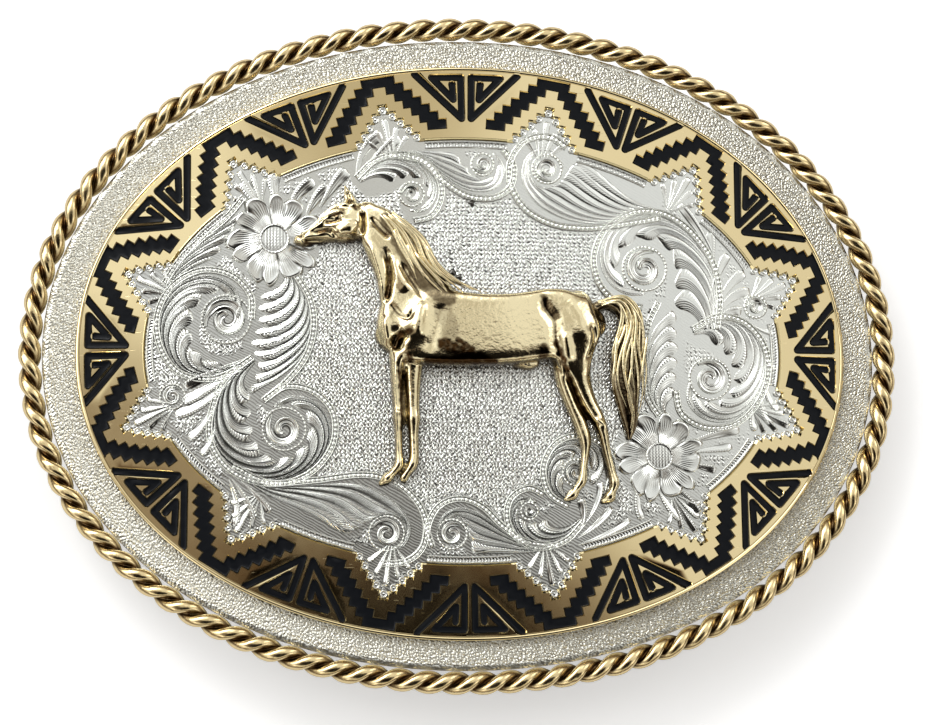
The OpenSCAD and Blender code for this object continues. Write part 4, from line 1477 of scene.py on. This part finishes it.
class BUCKLE_OT_engraved_field(Builder, bpy.types.Operator):
    """Engraved field: lined ground, milled edge strip, scrolls with lobes, free leaves and two flowers"""

    bl_idname = "buckle.engraved_field"
    bl_label = "Engraved field"

    def build(self, sizes, finishes):
        curve = sizes.curve_radius / MM
        opening = grown(star_opening(sizes), -sizes.star_bevel / MM / 2 - SEAM)
        leaves = np.array(LEAVES)
        root, bend, tip = leaves[:, 0:2], leaves[:, 2:4], leaves[:, 4:6]
        parts = [self.top(opening, curve_through(root, bend, tip, 9)[0].reshape(-1, 2), curve),
                 cover([opening], -BAND_T, curve, 3), wall([(opening, FIELD), (opening, -BAND_T)], curve)]
        ground = make_mesh("field_ground", parts, keep=["bed", "depth"], sharp=30, merge=True)
        place_piece(ground, "engraved_silver", ground_silver_material(finishes), "engraved_field")
        turn = (bend - root)[:, 0] * (tip - bend)[:, 1] - (bend - root)[:, 1] * (tip - bend)[:, 0]
        lobes = [leaf_parts(root, bend, tip, leaves[:, 6], -np.sign(turn), 0.2, curve)]
        lobes += [lobe_band(*band, curve) for band in LOBE_BANDS.values()]
        material = cut_silver_material(finishes)
        made = {"lobes": lobes, "rims": rim_parts(curve), "flowers": flower_parts(curve),
                "stars": star_fill(curve) + speck_parts(curve), "milled_edge": milled_strips(sizes, curve)}
        for name, parts in made.items():
            piece = make_mesh(name + "_silver", parts, keep=["hatched", "lined", "hollow"])
            place_piece(piece, "engraved_silver", material)

    def top(self, opening, spots, curve):
        """Ground with its bed marked: near 1 within about a millimetre of a lobe, leaf or flower."""
        points, faces = filled([opening], 0.5)
        t = np.linspace(0, 1, 60)
        spots = [spots]
        for *_, stem, heads in LOBE_BANDS.values():
            spots += [along_line(heads, t) * (1 - k) + along_line(stem, t) * k for k in np.linspace(0, 1, 6)]
        away = nearest(points, np.vstack(spots)) - 0.9
        for x, y, radius, *_ in FLOWERS + EYES:
            away = np.minimum(away, np.linalg.norm(points - [x, y], axis=1) - radius)
        rim = np.sum((np.abs(points) / OPEN_FIELD) ** 2, axis=1)
        bed = np.maximum(np.clip(0.5 - away / 0.4, 0, 1), np.clip((rim - 1) * 12, 0, 1))
        return part(lay(points, FIELD, curve), faces, bed=bed, depth=np.clip(cut_depth_and_shade(points), 0.35, 1.1))


# Horse

# Masses of the horse, each a row of sections along it: x and y of the middle, half of its width in
# the plane of the face, and its height above the field
HORSE_MASSES = {
    "trunk":
        [(-9, 1.6, 1.6, 1.5), (-7.6, 2.1, 3.5, 2.2), (-5, 2.2, 4.1, 2.55), (-1.5, 2.2, 4.25, 2.6),
         (1.5, 2.1, 4.1, 2.7), (4.5, 2.2, 4.05, 2.7), (7.2, 2.55, 4, 2.55), (9.6, 2.9, 4.05, 2.55),
         (11.6, 3, 3.7, 2.6), (13.2, 3, 2.8, 2.3), (14.3, 3, 1.7, 1.7)],
    "neck":
        [(-5, 3.6, 4.6, 2.3), (-6.3, 6.6, 4, 2.2), (-7.5, 9.3, 3.35, 2.1), (-8.9, 11.8, 2.95, 2.05),
         (-10.3, 13.8, 2.5, 1.9), (-11.6, 14.9, 2, 1.7)],
    "head":
        [(-11.9, 14.8, 1.9, 1.6), (-13, 14.7, 2.25, 1.9), (-14.3, 14.45, 2.4, 2), (-15.5, 14.05, 2, 1.8),
         (-16.7, 13.45, 1.4, 1.55), (-17.8, 12.9, 1.02, 1.4), (-18.7, 12.55, 0.86, 1.3),
         (-19.25, 12.5, 0.6, 1)],
    "cheek":
        [(-13.1, 14.1, 1.1, 2.15), (-13.7, 13.8, 1.45, 2.25), (-14.4, 13.5, 1.1, 2.1)],
    "chest":
        [(-9.2, 4.4, 1, 1.9), (-9.15, 2.6, 1.35, 2.2), (-8.8, 0.8, 1.2, 1.9)],
    "shoulder":
        [(-5.4, 5.4, 1.8, 2.5), (-6, 3.4, 2.3, 2.8), (-6.8, 1.2, 2, 2.7), (-7.4, -0.8, 1.3, 2.1)],
    "elbow":
        [(-5, 1.2, 1.1, 2.7), (-5.5, -0.2, 1, 2.3), (-6.2, -1.5, 0.8, 1.8)],
    "near foreleg":
        [(-7.7, 0.6, 1.5, 2), (-7.9, -1.6, 1.1, 1.8), (-8.05, -4, 0.82, 1.6), (-8, -6.6, 0.66, 1.4),
         (-7.95, -7.9, 0.74, 1.5), (-7.95, -9.4, 0.52, 1.2), (-7.9, -12, 0.5, 1.15),
         (-7.95, -13.2, 0.62, 1.25), (-8.6, -14.1, 0.5, 1), (-9.3, -14.8, 0.66, 1),
         (-9.9, -15.3, 0.32, 0.5)],
    "far foreleg":
        [(-6.3, -0.8, 1.3, 1.5), (-6.35, -4, 0.98, 1.3), (-6.3, -6.8, 0.78, 1.15), (-6.25, -8, 0.84, 1.2),
         (-6.25, -9.6, 0.62, 1), (-6.2, -12.2, 0.6, 0.95), (-6.4, -13.2, 0.66, 1), (-6.9, -14, 0.5, 0.8),
         (-7.35, -14.7, 0.52, 0.6)],
    "haunch":
        [(12.2, 4.8, 2.2, 2.55), (12.2, 2.4, 3, 2.85), (12, 0, 2.5, 2.6), (12.2, -2.2, 1.8, 2.1)],
    "near hind leg":
        [(12.3, -0.6, 2, 2.2), (12.8, -3.4, 1.35, 1.8), (13.7, -5.8, 1, 1.55), (14.7, -7.7, 0.88, 1.5),
         (15.3, -9.2, 0.72, 1.35), (15.8, -11.6, 0.52, 1.1), (16.35, -14, 0.52, 1.05),
         (16.65, -15.2, 0.66, 1.15), (16.4, -16.1, 0.5, 0.95), (16.05, -16.8, 0.74, 0.95),
         (15.4, -17.25, 0.34, 0.5)],
    "far hind leg":
        [(11.2, -0.6, 1.6, 1.6), (11.1, -3.2, 1.2, 1.4), (11.8, -5.8, 0.96, 1.25), (12.7, -8.2, 0.86, 1.2),
         (13.3, -10.2, 0.78, 1.2), (13.35, -11.6, 0.54, 0.95), (13.1, -13.6, 0.48, 0.9),
         (12.9, -15, 0.58, 0.95), (12.3, -15.9, 0.46, 0.75), (11.8, -16.6, 0.62, 0.75),
         (11.1, -17.05, 0.3, 0.45)],
    "tail core":
        [(14.6, 5, 0.6, 1.1), (16.2, 5.4, 0.6, 1.2), (17.8, 4.9, 1, 1.1), (18.8, 3, 1.4, 1.1),
         (18.5, 0, 1.9, 1.1), (18.2, -3.2, 1.8, 1), (18.4, -6.2, 1.3, 0.9), (18.6, -8.6, 0.8, 0.7),
         (18.5, -10, 0.3, 0.4)],
    "near ear":
        [(-13.2, 16, 0.95, 1.7), (-13.4, 17, 0.75, 1.4), (-13.75, 18, 0.42, 1.1), (-14, 18.8, 0.1, 0.7)],
    "forelock":
        [(-13, 16.4, 0.5, 1.8), (-14.2, 16.4, 0.4, 1.7), (-15, 15.9, 0.25, 1.5)],
    "sheath":
        [(5.6, -1.5, 0.6, 1.3), (6.8, -1.9, 0.5, 1.2), (7.8, -1.7, 0.4, 1.1)],
}
# Muscles and grooves: points along each, half-width, and how far it rises or, below 0, is cut in
HORSE_FORMS = [
    ([(-3.2, 5.0), (-3.6, 3.4), (-4.1, 1.2), (-4.9, -0.8)], 0.75, -0.16),
    ([(-5.4, 5.2), (-5.6, 3.2), (-5.9, 0.9)], 0.60, 0.30),
    ([(-9.0, 4.9), (-8.0, 3.6), (-6.9, 3.2), (-6.4, 4.2)], 0.26, -0.22),
    ([(-8.5, -0.4), (-8.0, 0.9), (-7.2, 1.6)], 0.62, -0.8),
    ([(-9.6, 3.6), (-9.5, 2.0), (-9.1, 0.4)], 0.45, 0.25),
    ([(-9.5, 11.0), (-9.0, 8.8), (-9.1, 6.6), (-9.5, 5.0)], 0.36, -0.60),
    ([(-11.3, 12.2), (-10.7, 10.0), (-10.2, 8.0), (-9.9, 5.6)], 0.42, 0.30),
    ([(-8.9, 10.4), (-8.0, 8.0), (-6.9, 6.3)], 0.55, 0.28),
    ([(-7.9, 9.6), (-6.6, 7.4), (-5.2, 5.4)], 0.28, -0.25),
    ([(-12.1, 15.7), (-11.9, 14.3), (-12.1, 12.8)], 0.28, -0.55),
    ([(-11.2, 14.8), (-10.0, 13.4), (-9.0, 12.4)], 0.30, -0.35),
    ([(-7.40, -1.2), (-7.35, -5.0), (-7.25, -9.0), (-7.15, -13.2)], 0.24, -0.85),
    ([(-8.3, -1.2), (-8.4, -5.0), (-8.2, -9.0), (-8.2, -12.8)], 0.20, 0.18),
    ([(8.3, 6.2), (8.7, 4.3), (9.6, 3.0), (9.8, 1.2), (9.9, 0.2), (10.8, -2.0)], 0.65, -0.34),
    ([(10.8, -2.0), (11.8, -4.5), (12.8, -6.8), (14.0, -8.6), (14.8, -10.4)], 0.30, -0.55),
    ([(11.4, 5.6), (12.8, 3.2), (12.9, 0.6)], 1.00, 0.22),
    ([(10.9, 1.0), (11.2, -1.0)], 0.60, 0.28),
    ([(13.9, 2.6), (14.3, 1.6), (14.2, 0.2), (13.4, -1.6)], 0.30, -0.30),
    ([(-18.9, 12.22), (-17.8, 12.38), (-16.4, 12.30)], 0.14, -0.40),
    ([(-17.7, 13.15), (-16.3, 13.45), (-15.4, 13.2)], 0.20, -0.32),
    ([(-16.4, 14.3), (-15.4, 14.4), (-14.3, 14.7)], 0.20, -0.35),
    ([(-16.1, 15.0), (-15.2, 15.5), (-14.2, 15.45)], 0.20, 0.32),
    ([(-18.6, 13.35), (-17.2, 14.0), (-15.9, 15.1)], 0.26, 0.22),
    ([(-13.2, 12.3), (-14.8, 12.3), (-16.0, 12.5)], 0.24, 0.20),
    ([(-14.95, 14.98), (-14.94, 14.98)], 0.30, -0.45),
    ([(-14.95, 14.97), (-14.94, 14.97)], 0.15, 0.42),
    ([(-19.0, 12.82), (-18.9, 12.80)], 0.19, -0.40),
    ([(-13.5, 16.6), (-13.7, 17.7)], 0.22, -0.45),
    ([(-15.6, 13.3), (-15.3, 12.9)], 0.25, -0.2),
    ([(-8.6, -7.3), (-7.5, -7.5)], 0.30, 0.16),
    ([(14.6, -8.2), (15.6, -8.7)], 0.28, 0.2),
]
# Painted dark reflections and painted shade on the gilding: points along each, half-width, and how dark
HORSE_PAINTED_DARK = [
    ([(-4.8, -1.6), (-1.0, -1.6), (2.8, -1.75)], 0.45, 1.0),
    ([(-3.0, 0.3), (-2.0, -0.2), (-0.6, -0.9), (1.3, -1.4)], 0.72, 1.0),
    ([(-1.4, 0.7), (0.2, -0.4)], 0.35, 1.0),
    ([(-3.0, 3.8), (-2.3, 2.4), (-2.3, 1.0)], 1.00, 0.35),
    ([(8.5, 5.7), (8.6, 4.4)], 0.42, 0.85),
    ([(9.2, 4.0), (10.0, 3.2), (10.0, 1.5)], 0.42, 0.6),
    ([(9.8, 0.6), (10.6, -1.2), (11.5, -3.6), (12.4, -5.8), (13.8, -8.2)], 0.34, 1.0),
    ([(8.5, -0.1), (8.3, -1.4)], 0.55, 0.9),
    ([(3.0, -1.85), (6.4, -1.75)], 0.12, 0.9),
    ([(-8.4, 0.0), (-7.7, 1.4), (-6.8, 1.6)], 0.42, 1.0),
    ([(-6.9, -0.9), (-6.6, -1.7)], 0.32, 1.0),
    ([(-9.8, 10.6), (-9.0, 9.4), (-8.95, 7.0)], 0.32, 0.6),
    ([(-9.1, 6.8), (-9.35, 5.6)], 0.30, 1.0),
    ([(-8.9, 3.5), (-8.1, 4.6)], 0.16, 0.5),
    ([(-8.05, -1.8), (-7.75, -5.2), (-7.55, -9.4)], 0.20, 1.0),
    ([(-17.0, 13.2), (-16.0, 13.4)], 0.30, 0.85),
    ([(-15.8, 15.0), (-14.9, 15.2), (-14.2, 15.4)], 0.17, 1.0),
    ([(-18.6, 12.0), (-15.5, 11.95), (-12.3, 12.4)], 0.20, 1.0),
    ([(-13.3, 16.8), (-12.8, 15.8)], 0.18, 1.0),
    ([(-11.9, 13.9), (-10.4, 13.6), (-9.2, 12.6)], 0.10, 0.9),
    ([(-9.8, 14.4), (-8.9, 13.6), (-8.7, 12.8)], 0.30, 0.7),
    ([(13.3, 2.3), (14.0, 1.6), (13.8, 0.4)], 0.14, 0.8),
    ([(-9.0, 14.4), (-7.4, 11.6), (-5.6, 8.4), (-3.8, 6.4), (-2.6, 5.6)], 1.10, 0.8),
    ([(15.4, 4.9), (18.3, 4.6), (18.7, 1.0), (18.2, -4.0), (18.6, -9.0)], 1.80, 0.8),
]
# Locks of hair lie between a left and a right edge, each a line of points from root to end
MANE_EDGES = (
    [(-10.6, 15.6), (-8.9, 13.6), (-7.8, 11), (-6.4, 8.2), (-4.6, 4.9)],
    [(-8.4, 15.5), (-5.2, 12.5), (-3.4, 9.3), (-1, 7.4), (2.9, 5.8)])
TAIL_EDGES = (
    [(15, 5), (17, 5.1), (17.3, 2.8), (16.3, -0.6), (16.4, -4.2), (17.7, -7.8), (18.2, -10.2)],
    [(15, 5.7), (18.2, 6.1), (20.2, 3.6), (20.6, -0.4), (20.3, -4.4), (19.9, -7.4), (18.9, -10.2)])
# Powers of the broad masses' sections; the others have 2.2
HORSE_POWERS = {"trunk": 8, "neck": 5, "haunch": 5}
# Voxel that melts the masses together, in millimetres
HORSE_VOXEL = 0.145
LOCK_STEPS = 36


def smooth_line(points, steps):
    """Points of any width, eased through by a Catmull-Rom curve."""
    p = np.asarray(points, float)
    p = np.vstack([2 * p[0] - p[1], p, 2 * p[-1] - p[-2]])
    t = np.linspace(0, len(p) - 3 - 1e-9, steps)
    k = t.astype(int)
    f = (t - k)[:, None]
    a, b, c, d = p[k], p[k + 1], p[k + 2], p[k + 3]
    return 0.5 * (2 * b + (c - a) * f + (2 * a - 5 * b + 4 * c - d) * f ** 2
                  + (3 * b - 3 * c + d - a) * f ** 3)


def swelling(middle, half_width, height, base, curve, power=2.2, sides=28, dark=0.75):
    """Closed tube round a line: each section is a squared oval of the given half-width and height over
    the field, and its two ends are rounded off; its low sides are painted dark as shade."""
    ahead = unit(np.gradient(middle, axis=0))
    ends = np.radians([80, 60, 40, 20])
    first = [middle[0] - ahead[0] * half_width[0] * np.sin(e) for e in ends]
    last = [middle[-1] + ahead[-1] * half_width[-1] * np.sin(e) for e in ends[::-1]]
    centre = np.vstack([first, middle, last])
    share = np.concatenate([np.cos(ends), np.ones(len(middle)), np.cos(ends[::-1])])
    index = np.concatenate([[0] * 4, np.arange(len(middle)), [-1] * 4])
    side = left_of(ahead)[index]
    w, h, low = (half_width[index] * share)[:, None], (height[index] * share)[:, None], base[index][:, None]
    a = full_turn(sides)[None, :]
    flat = centre[:, None, :] + (w * signed_power(np.cos(a), power))[..., None] * side[:, None, :]
    points = lay(flat, HORSE_FOOT + low + h * signed_power(np.sin(a), power), curve)
    rows = len(centre)
    hollow = np.append(np.clip(dark - 1.3 * np.sin(a) + 0 * w, 0, 1).ravel(), [0, 0])
    n, j = rows * sides, np.arange(sides)
    following = (j + 1) % sides
    fans = [np.stack([j, following, np.full(sides, n)], -1),
            np.stack([n - sides + j, np.full(sides, n + 1), n - sides + following], -1)]
    points = np.vstack([points.reshape(-1, 3), points[0].mean(0), points[-1].mean(0)])
    return [part(points, grid_faces(rows, sides, close_columns=True), hollow=hollow),
            part(points, np.vstack(fans), hollow=hollow)]


def locks(edges, count, rows, reach, width, height, seed, sway, curve):
    """Hair between two edges: thin tapered tubes side by side, each starting and ending at its own place
    and swaying a little; rows of them lie over each other. Height rows run from root to end."""
    rng = np.random.default_rng(seed)
    left, right = (smooth_line(e, LOCK_STEPS) for e in edges)
    made = []
    for row in range(rows):
        for k in range(count):
            share = (k + 0.5 + rng.uniform(-0.3, 0.3)) / count
            swing = np.linspace(0, 2.5 * np.pi * (1 + sway), LOCK_STEPS)
            share = share + sway / count * np.sin(swing + rng.uniform(0, 6))
            line = left + (right - left) * np.clip(share, 0.02, 0.98)[:, None]
            start = rng.uniform(0, 0.06) if row == 0 else rng.uniform(0.05, 0.5)
            end = rng.uniform(reach, 1.0)
            line = line[int(start * (LOCK_STEPS - 1)):int(end * (LOCK_STEPS - 1)) + 1]
            s = np.linspace(0, 1, len(line))
            half = width * rng.uniform(0.7, 1.25) * np.interp(s, [0, 0.12, 0.7, 1], [0.5, 1, 0.9, 0.2])
            along = start + (end - start) * s
            top = np.interp(along, np.linspace(0, 1, len(height)), height)
            top = top * rng.uniform(0.94, 1.04) + 0.10 * row
            top = top * np.interp(s, [0, 0.08, 0.85, 1], [0.9, 1, 1, 0.75])
            # Each lock is painted dark along its low sides, as shade between the locks
            made += swelling(line, half, half * 1.3, top - half * 1.3, curve, power=2, sides=10, dark=1.0)
    return made


def near_line(flat, line):
    """Distance from points to a line, and how far along it the nearest place is, 0 to 1."""
    best, share = np.full(len(flat), 1e9), np.zeros(len(flat))
    for k, (a, b) in enumerate(zip(line[:-1], line[1:])):
        span = b - a
        t = np.clip((flat - a) @ span / max(span @ span, 1e-9), 0, 1)
        away = np.linalg.norm(flat - a - t[:, None] * span, axis=1)
        share = np.where(away < best, (k + t) / (len(line) - 1), share)
        best = np.minimum(best, away)
    return best, share


def read(data, field, width, kind):
    """One field of a mesh's points, edges or corners, a row for each."""
    made = np.empty(len(data) * width, kind)
    data.foreach_get(field, made)
    return made.reshape(-1, width)


def melted(rough, voxel, rounds):
    """Points, edges and faces of a mesh whose masses are melted into one skin by a voxel remesh, then
    smoothed."""
    remesh = rough.modifiers.new("melt", "REMESH")
    remesh.mode, remesh.voxel_size = "VOXEL", voxel
    ease = rough.modifiers.new("ease", "SMOOTH")
    ease.factor, ease.iterations = 0.5, rounds
    graph = bpy.context.evaluated_depsgraph_get()
    mesh = bpy.data.meshes.new_from_object(rough.evaluated_get(graph))
    points = read(mesh.vertices, "co", 3, np.float32).astype(float)
    edges = read(mesh.edges, "vertices", 2, np.int32)
    faces = read(mesh.loops, "vertex_index", 1, np.int32).reshape(-1, 4)
    bpy.data.meshes.remove(mesh)
    return points, edges, faces


def eased(points, edges, rounds):
    """Points after rounds in which each moves half way to the mean of its neighbours."""
    a, b = edges.T
    degree = np.bincount(np.concatenate([a, b]), minlength=len(points))[:, None]
    for _ in range(rounds):
        ends, others = np.concatenate([a, b]), points[np.concatenate([b, a])]
        total = np.stack([np.bincount(ends, weights=others[:, k], minlength=len(points))
                          for k in range(3)], -1)
        points = 0.5 * points + 0.5 * total / np.maximum(degree, 1)
    return points


def point_normals(points, faces):
    """Normal at each point, from the crossed diagonals of the faces round it."""
    across = np.cross(points[faces[:, 2]] - points[faces[:, 0]], points[faces[:, 3]] - points[faces[:, 1]])
    total = np.stack([np.bincount(faces.ravel(), weights=np.repeat(across[:, k], 4), minlength=len(points))
                      for k in range(3)], -1)
    return unit(total + 1e-12)


class BUCKLE_OT_horse(Builder, bpy.types.Operator):
    """Cast horse: tubes of oval section melted into one skin, muscles and grooves along lines, and hair"""

    bl_idname = "buckle.horse"
    bl_label = "Horse"

    def build(self, sizes, finishes):
        curve = sizes.curve_radius / MM
        parts = [self.body(curve)]
        parts += locks(MANE_EDGES, 8, 2, 0.7, 0.25, [1.9, 2.15, 2.25, 2.45, 2.75], 3, 0.3, curve)
        parts += locks(TAIL_EDGES, 9, 2, 0.5, 0.19, [1.3, 1.75, 1.7, 1.6, 1.5, 1.2, 0.7], 7, 0.7, curve)
        horse = make_mesh("horse_gold", parts, keep=["hollow"])
        place_piece(horse, "cast_gold", horse_gold_material(finishes), "horse")

    def body(self, curve):
        masses = []
        for name, sections in HORSE_MASSES.items():
            run = smooth_line(sections, 8 * len(sections))
            masses += swelling(run[:, :2], run[:, 2], run[:, 3], 0 * run[:, 2], curve,
                               HORSE_POWERS.get(name, 2.2))
        rough = make_mesh("horse_masses", masses)
        rough.data.transform(Matrix.Scale(1 / MM, 4))
        points, edges, faces = melted(rough, HORSE_VOXEL, 3)
        bpy.data.objects.remove(rough)
        foot = lay(points[:, :2], np.full(len(points), HORSE_FOOT), curve)[:, 2]
        broad = np.clip((points[:, 2] - foot - 1.2) / 0.7, 0, 1) * np.clip((12.8 - points[:, 1]) / 1.5, 0, 1)
        points += (eased(points, edges, 50) - points) * broad[:, None]
        above = np.clip(points[:, 2] - foot - 0.15, 0, 1)
        for line, half, rise in HORSE_FORMS:
            away, share = near_line(points[:, :2], smooth_line(line, 16))
            taper = 1 if len(line) == 2 else np.clip(5 * np.minimum(share, 1 - share) + 0.15, 0, 1)
            points[:, 2] += rise * taper * np.exp(-(away / half) ** 2) * above
        points[:, 2] = np.maximum(points[:, 2], foot)
        normals = point_normals(points, faces)
        # Painted shade and painted dark reflections: darker in creases and on steep sides, and in the patches
        # listed above
        sunk = np.sum((eased(points, edges, 11) - points) * normals, axis=1)
        steep = np.clip((0.60 - normals[:, 2]) / 0.3, 0, 0.8)
        hollow = np.maximum(np.clip((sunk - 0.015) / 0.07, 0, 1), steep)
        ragged = 0.1 * np.sin(5 * points[:, 0] + 2 * points[:, 1]) * np.sin(6 * points[:, 1])
        for line, half, dark in HORSE_PAINTED_DARK:
            away = near_line(points[:, :2], smooth_line(line, 16))[0] + ragged
            hollow = np.maximum(hollow, dark * np.clip((half - away) / 0.25 + 0.5, 0, 1))
        return part(points, faces, hollow=hollow)


class BUCKLE_OT_back_fittings(Builder, bpy.types.Operator):
    """Belt loop and hook: the frame's own pieces with a satin finish"""

    bl_idname = "buckle.back_fittings"
    bl_label = "Back fittings"

    def build(self, sizes, finishes):
        material = back_silver_material(finishes)
        for name in ("belt_loop", "belt_hook"):
            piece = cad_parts[name]
            piece.data.materials.clear()
            piece.data.materials.append(material)


# Stage

# Camera that was fitted to the photograph, in millimetres
SENSOR = 36.0
LENS = 93.38
CAMERA_PLACE = (-26.12, -40.31, 279.82)
CAMERA_TURN = (-8.188, 5.382, 0.003)
# Floor and key lamp, in metres and watts
FLOOR_REACH = 2.0
LAMP_PLACE, LAMP_SIZE, LAMP_POWER = (-0.42, 0.52, 0.62), 0.30, 2.4
# What dims the room: its direction as x and y over z, the radius of full shade and of its edge in
# degrees, and the share of light that is left
ROOM_SHADES = [
    (0.02, -0.44, 26.3, 33.0, 0.0),
    (-0.40, -0.35, 25.5, 27.8, 0.32),
    (-0.03, 0.34, 5.0, 12.0, 0.60),
]
# What lights it: direction, radius of full light and of its edge, and strength
ROOM_LIGHTS = [
    (-1.3, 0.5, 10.0, 22.0, 1.9),
    (-0.3, 1.1, 10.0, 20.0, 1.6),
    (1.2, 0.7, 8.0, 18.0, 1.5),
    (1.4, -0.8, 5.0, 13.0, 1.0),
    (-1.3, -1.1, 5.0, 12.0, 0.9),
]
# Colour of the room's light by its strength
ROOM_COLOURS = [
    (0.0, (0.004, 0.003, 0.002)),
    (0.1, (0.10, 0.062, 0.036)),
    (0.25, (0.235, 0.19, 0.155)),
    (0.5, (0.50, 0.465, 0.41)),
    (1.0, (1.0, 1.02, 1.03)),
]


def room(scene):
    """Soft light as a function of direction: brighter to the left and overhead, dim at the horizon, with
    shades and lights at given directions."""
    world = bpy.data.worlds.new("studio")
    world.use_nodes = True
    tree = world.node_tree
    background = tree.nodes["Background"]
    direction = add_node(tree, "ShaderNodeTexCoord").outputs["Generated"]
    axes = add_node(tree, "ShaderNodeSeparateXYZ", links={0: direction})

    def fade(slope_x, slope_y, full, edge, inside, outside):
        aim = Vector((slope_x, slope_y, 1)).normalized()
        towards = add_node(tree, "ShaderNodeVectorMath", {1: aim}, {0: direction},
                           operation="DOT_PRODUCT").outputs["Value"]
        return add_node(tree, "ShaderNodeMapRange",
                        {"From Min": np.cos(np.radians(edge)), "From Max": np.cos(np.radians(full)),
                         "To Min": outside, "To Max": inside}, {"Value": towards},
                        interpolation_type="SMOOTHSTEP").outputs[0]

    light = times(tree, axes.outputs["X"], -0.24, 0.90)
    rise = add_node(tree, "ShaderNodeMapRange",
                    {"From Min": 0.08, "From Max": 0.66, "To Min": 0.08, "To Max": 1.0},
                    {"Value": axes.outputs["Z"]}, interpolation_type="SMOOTHSTEP").outputs[0]
    light = times(tree, light, rise)
    for slope_x, slope_y, full, edge, left in ROOM_SHADES:
        light = times(tree, light, fade(slope_x, slope_y, full, edge, left, 1.0))
    ramp = add_node(tree, "ShaderNodeValToRGB", links={0: light})
    elements = ramp.color_ramp.elements
    for _ in range(len(ROOM_COLOURS) - len(elements)):
        elements.new(0.5)
    for element, (position, colour) in zip(elements, ROOM_COLOURS):
        element.position, element.color = position, (*colour, 1)
    lamps = 0.0
    for slope_x, slope_y, full, edge, strength in ROOM_LIGHTS:
        lamps = maths(tree, "ADD", lamps, fade(slope_x, slope_y, full, edge, strength, 0.0))
    colour = add_node(tree, "ShaderNodeMix", {0: 1.0}, {6: ramp.outputs[0], 7: lamps}, data_type="RGBA",
                      blend_type="ADD")
    seen = add_node(tree, "ShaderNodeLightPath").outputs["Is Camera Ray"]
    shown = add_node(tree, "ShaderNodeMix", {7: (1, 1, 1, 1)}, {0: seen, 6: colour.outputs[2]},
                     data_type="RGBA")
    tree.links.new(shown.outputs[2], background.inputs["Color"])
    background.inputs["Strength"].default_value = 1.0
    scene.world = world


class BUCKLE_OT_stage(Builder, bpy.types.Operator):
    """Camera at the photograph's angle, a pale floor and soft light"""

    bl_idname = "buckle.stage"
    bl_label = "Stage"

    def build(self, sizes, finishes):
        scene = bpy.context.scene
        turn = Vector(CAMERA_TURN)
        rotation = Matrix.Rotation(np.radians(turn.length), 3, turn.normalized()).transposed().to_4x4()
        data = bpy.data.cameras.new("camera")
        data.sensor_fit = "HORIZONTAL"
        data.sensor_width, data.lens = SENSOR, LENS
        data.clip_start, data.clip_end = 0.01, 10
        camera = new_object("camera", data)
        camera.matrix_world = Matrix.Translation(Vector(CAMERA_PLACE) * MM) @ rotation
        scene.camera = camera
        self.floor(finishes)
        room(scene)
        self.lamp()
        scene.view_settings.view_transform = "Standard"
        scene.view_settings.look = "None"

    def floor(self, finishes):
        mesh = bpy.data.meshes.new("floor")
        corners = [(x * FLOOR_REACH, y * FLOOR_REACH, 0) for x, y in ((-1, -1), (1, -1), (1, 1), (-1, 1))]
        mesh.from_pydata(corners, [], [(0, 1, 2, 3)])
        material, tree, shader, _ = new_material("pale floor", finishes.floor, 0.8, metallic=0.0)
        seen = add_node(tree, "ShaderNodeLightPath").outputs["Is Camera Ray"]
        shader.inputs["Emission Color"].default_value = (1, 1, 1, 1)
        tree.links.new(times(tree, seen, 0.42), shader.inputs["Emission Strength"])
        mesh.materials.append(material)
        floor = new_object("floor", mesh)

    def lamp(self):
        data = bpy.data.lights.new("key", "AREA")
        data.size, data.energy = LAMP_SIZE, LAMP_POWER
        lamp = new_object("key", data)
        lamp.location = LAMP_PLACE
        lamp.rotation_euler = (-Vector(LAMP_PLACE)).to_track_quat("-Z", "Y").to_euler()


class BUCKLE_PT_pieces(bpy.types.Panel):
    """Buttons for every piece, with the sizes and finishes"""

    bl_label = "Western belt buckle"
    bl_space_type = "VIEW_3D"
    bl_region_type = "UI"
    bl_category = "Buckle"

    def draw(self, context):
        for operator in OPERATORS:
            self.layout.operator(operator.bl_idname)
        for group in (context.scene.buckle_sizes, context.scene.buckle_finishes):
            for name in group.__annotations__:
                self.layout.prop(group, name)


OPERATORS = (BUCKLE_OT_base_plate, BUCKLE_OT_rope_edge, BUCKLE_OT_gold_band, BUCKLE_OT_enamel,
             BUCKLE_OT_engraved_field, BUCKLE_OT_horse, BUCKLE_OT_back_fittings, BUCKLE_OT_stage)
CLASSES = (BuckleSizes, BuckleFinishes, *OPERATORS, BUCKLE_PT_pieces)


def register():
    for made in CLASSES:
        bpy.utils.register_class(made)
    bpy.types.Scene.buckle_sizes = bpy.props.PointerProperty(type=BuckleSizes)
    bpy.types.Scene.buckle_finishes = bpy.props.PointerProperty(type=BuckleFinishes)


def unregister():
    del bpy.types.Scene.buckle_finishes
    del bpy.types.Scene.buckle_sizes
    for made in reversed(CLASSES):
        bpy.utils.unregister_class(made)


def main():
    register()
    bpy.ops.buckle.base_plate()
    bpy.ops.buckle.rope_edge()
    bpy.ops.buckle.gold_band()
    bpy.ops.buckle.enamel()
    bpy.ops.buckle.engraved_field()
    bpy.ops.buckle.horse()
    bpy.ops.buckle.back_fittings()
    bpy.ops.buckle.stage()


if __name__ == "__main__":
    main()
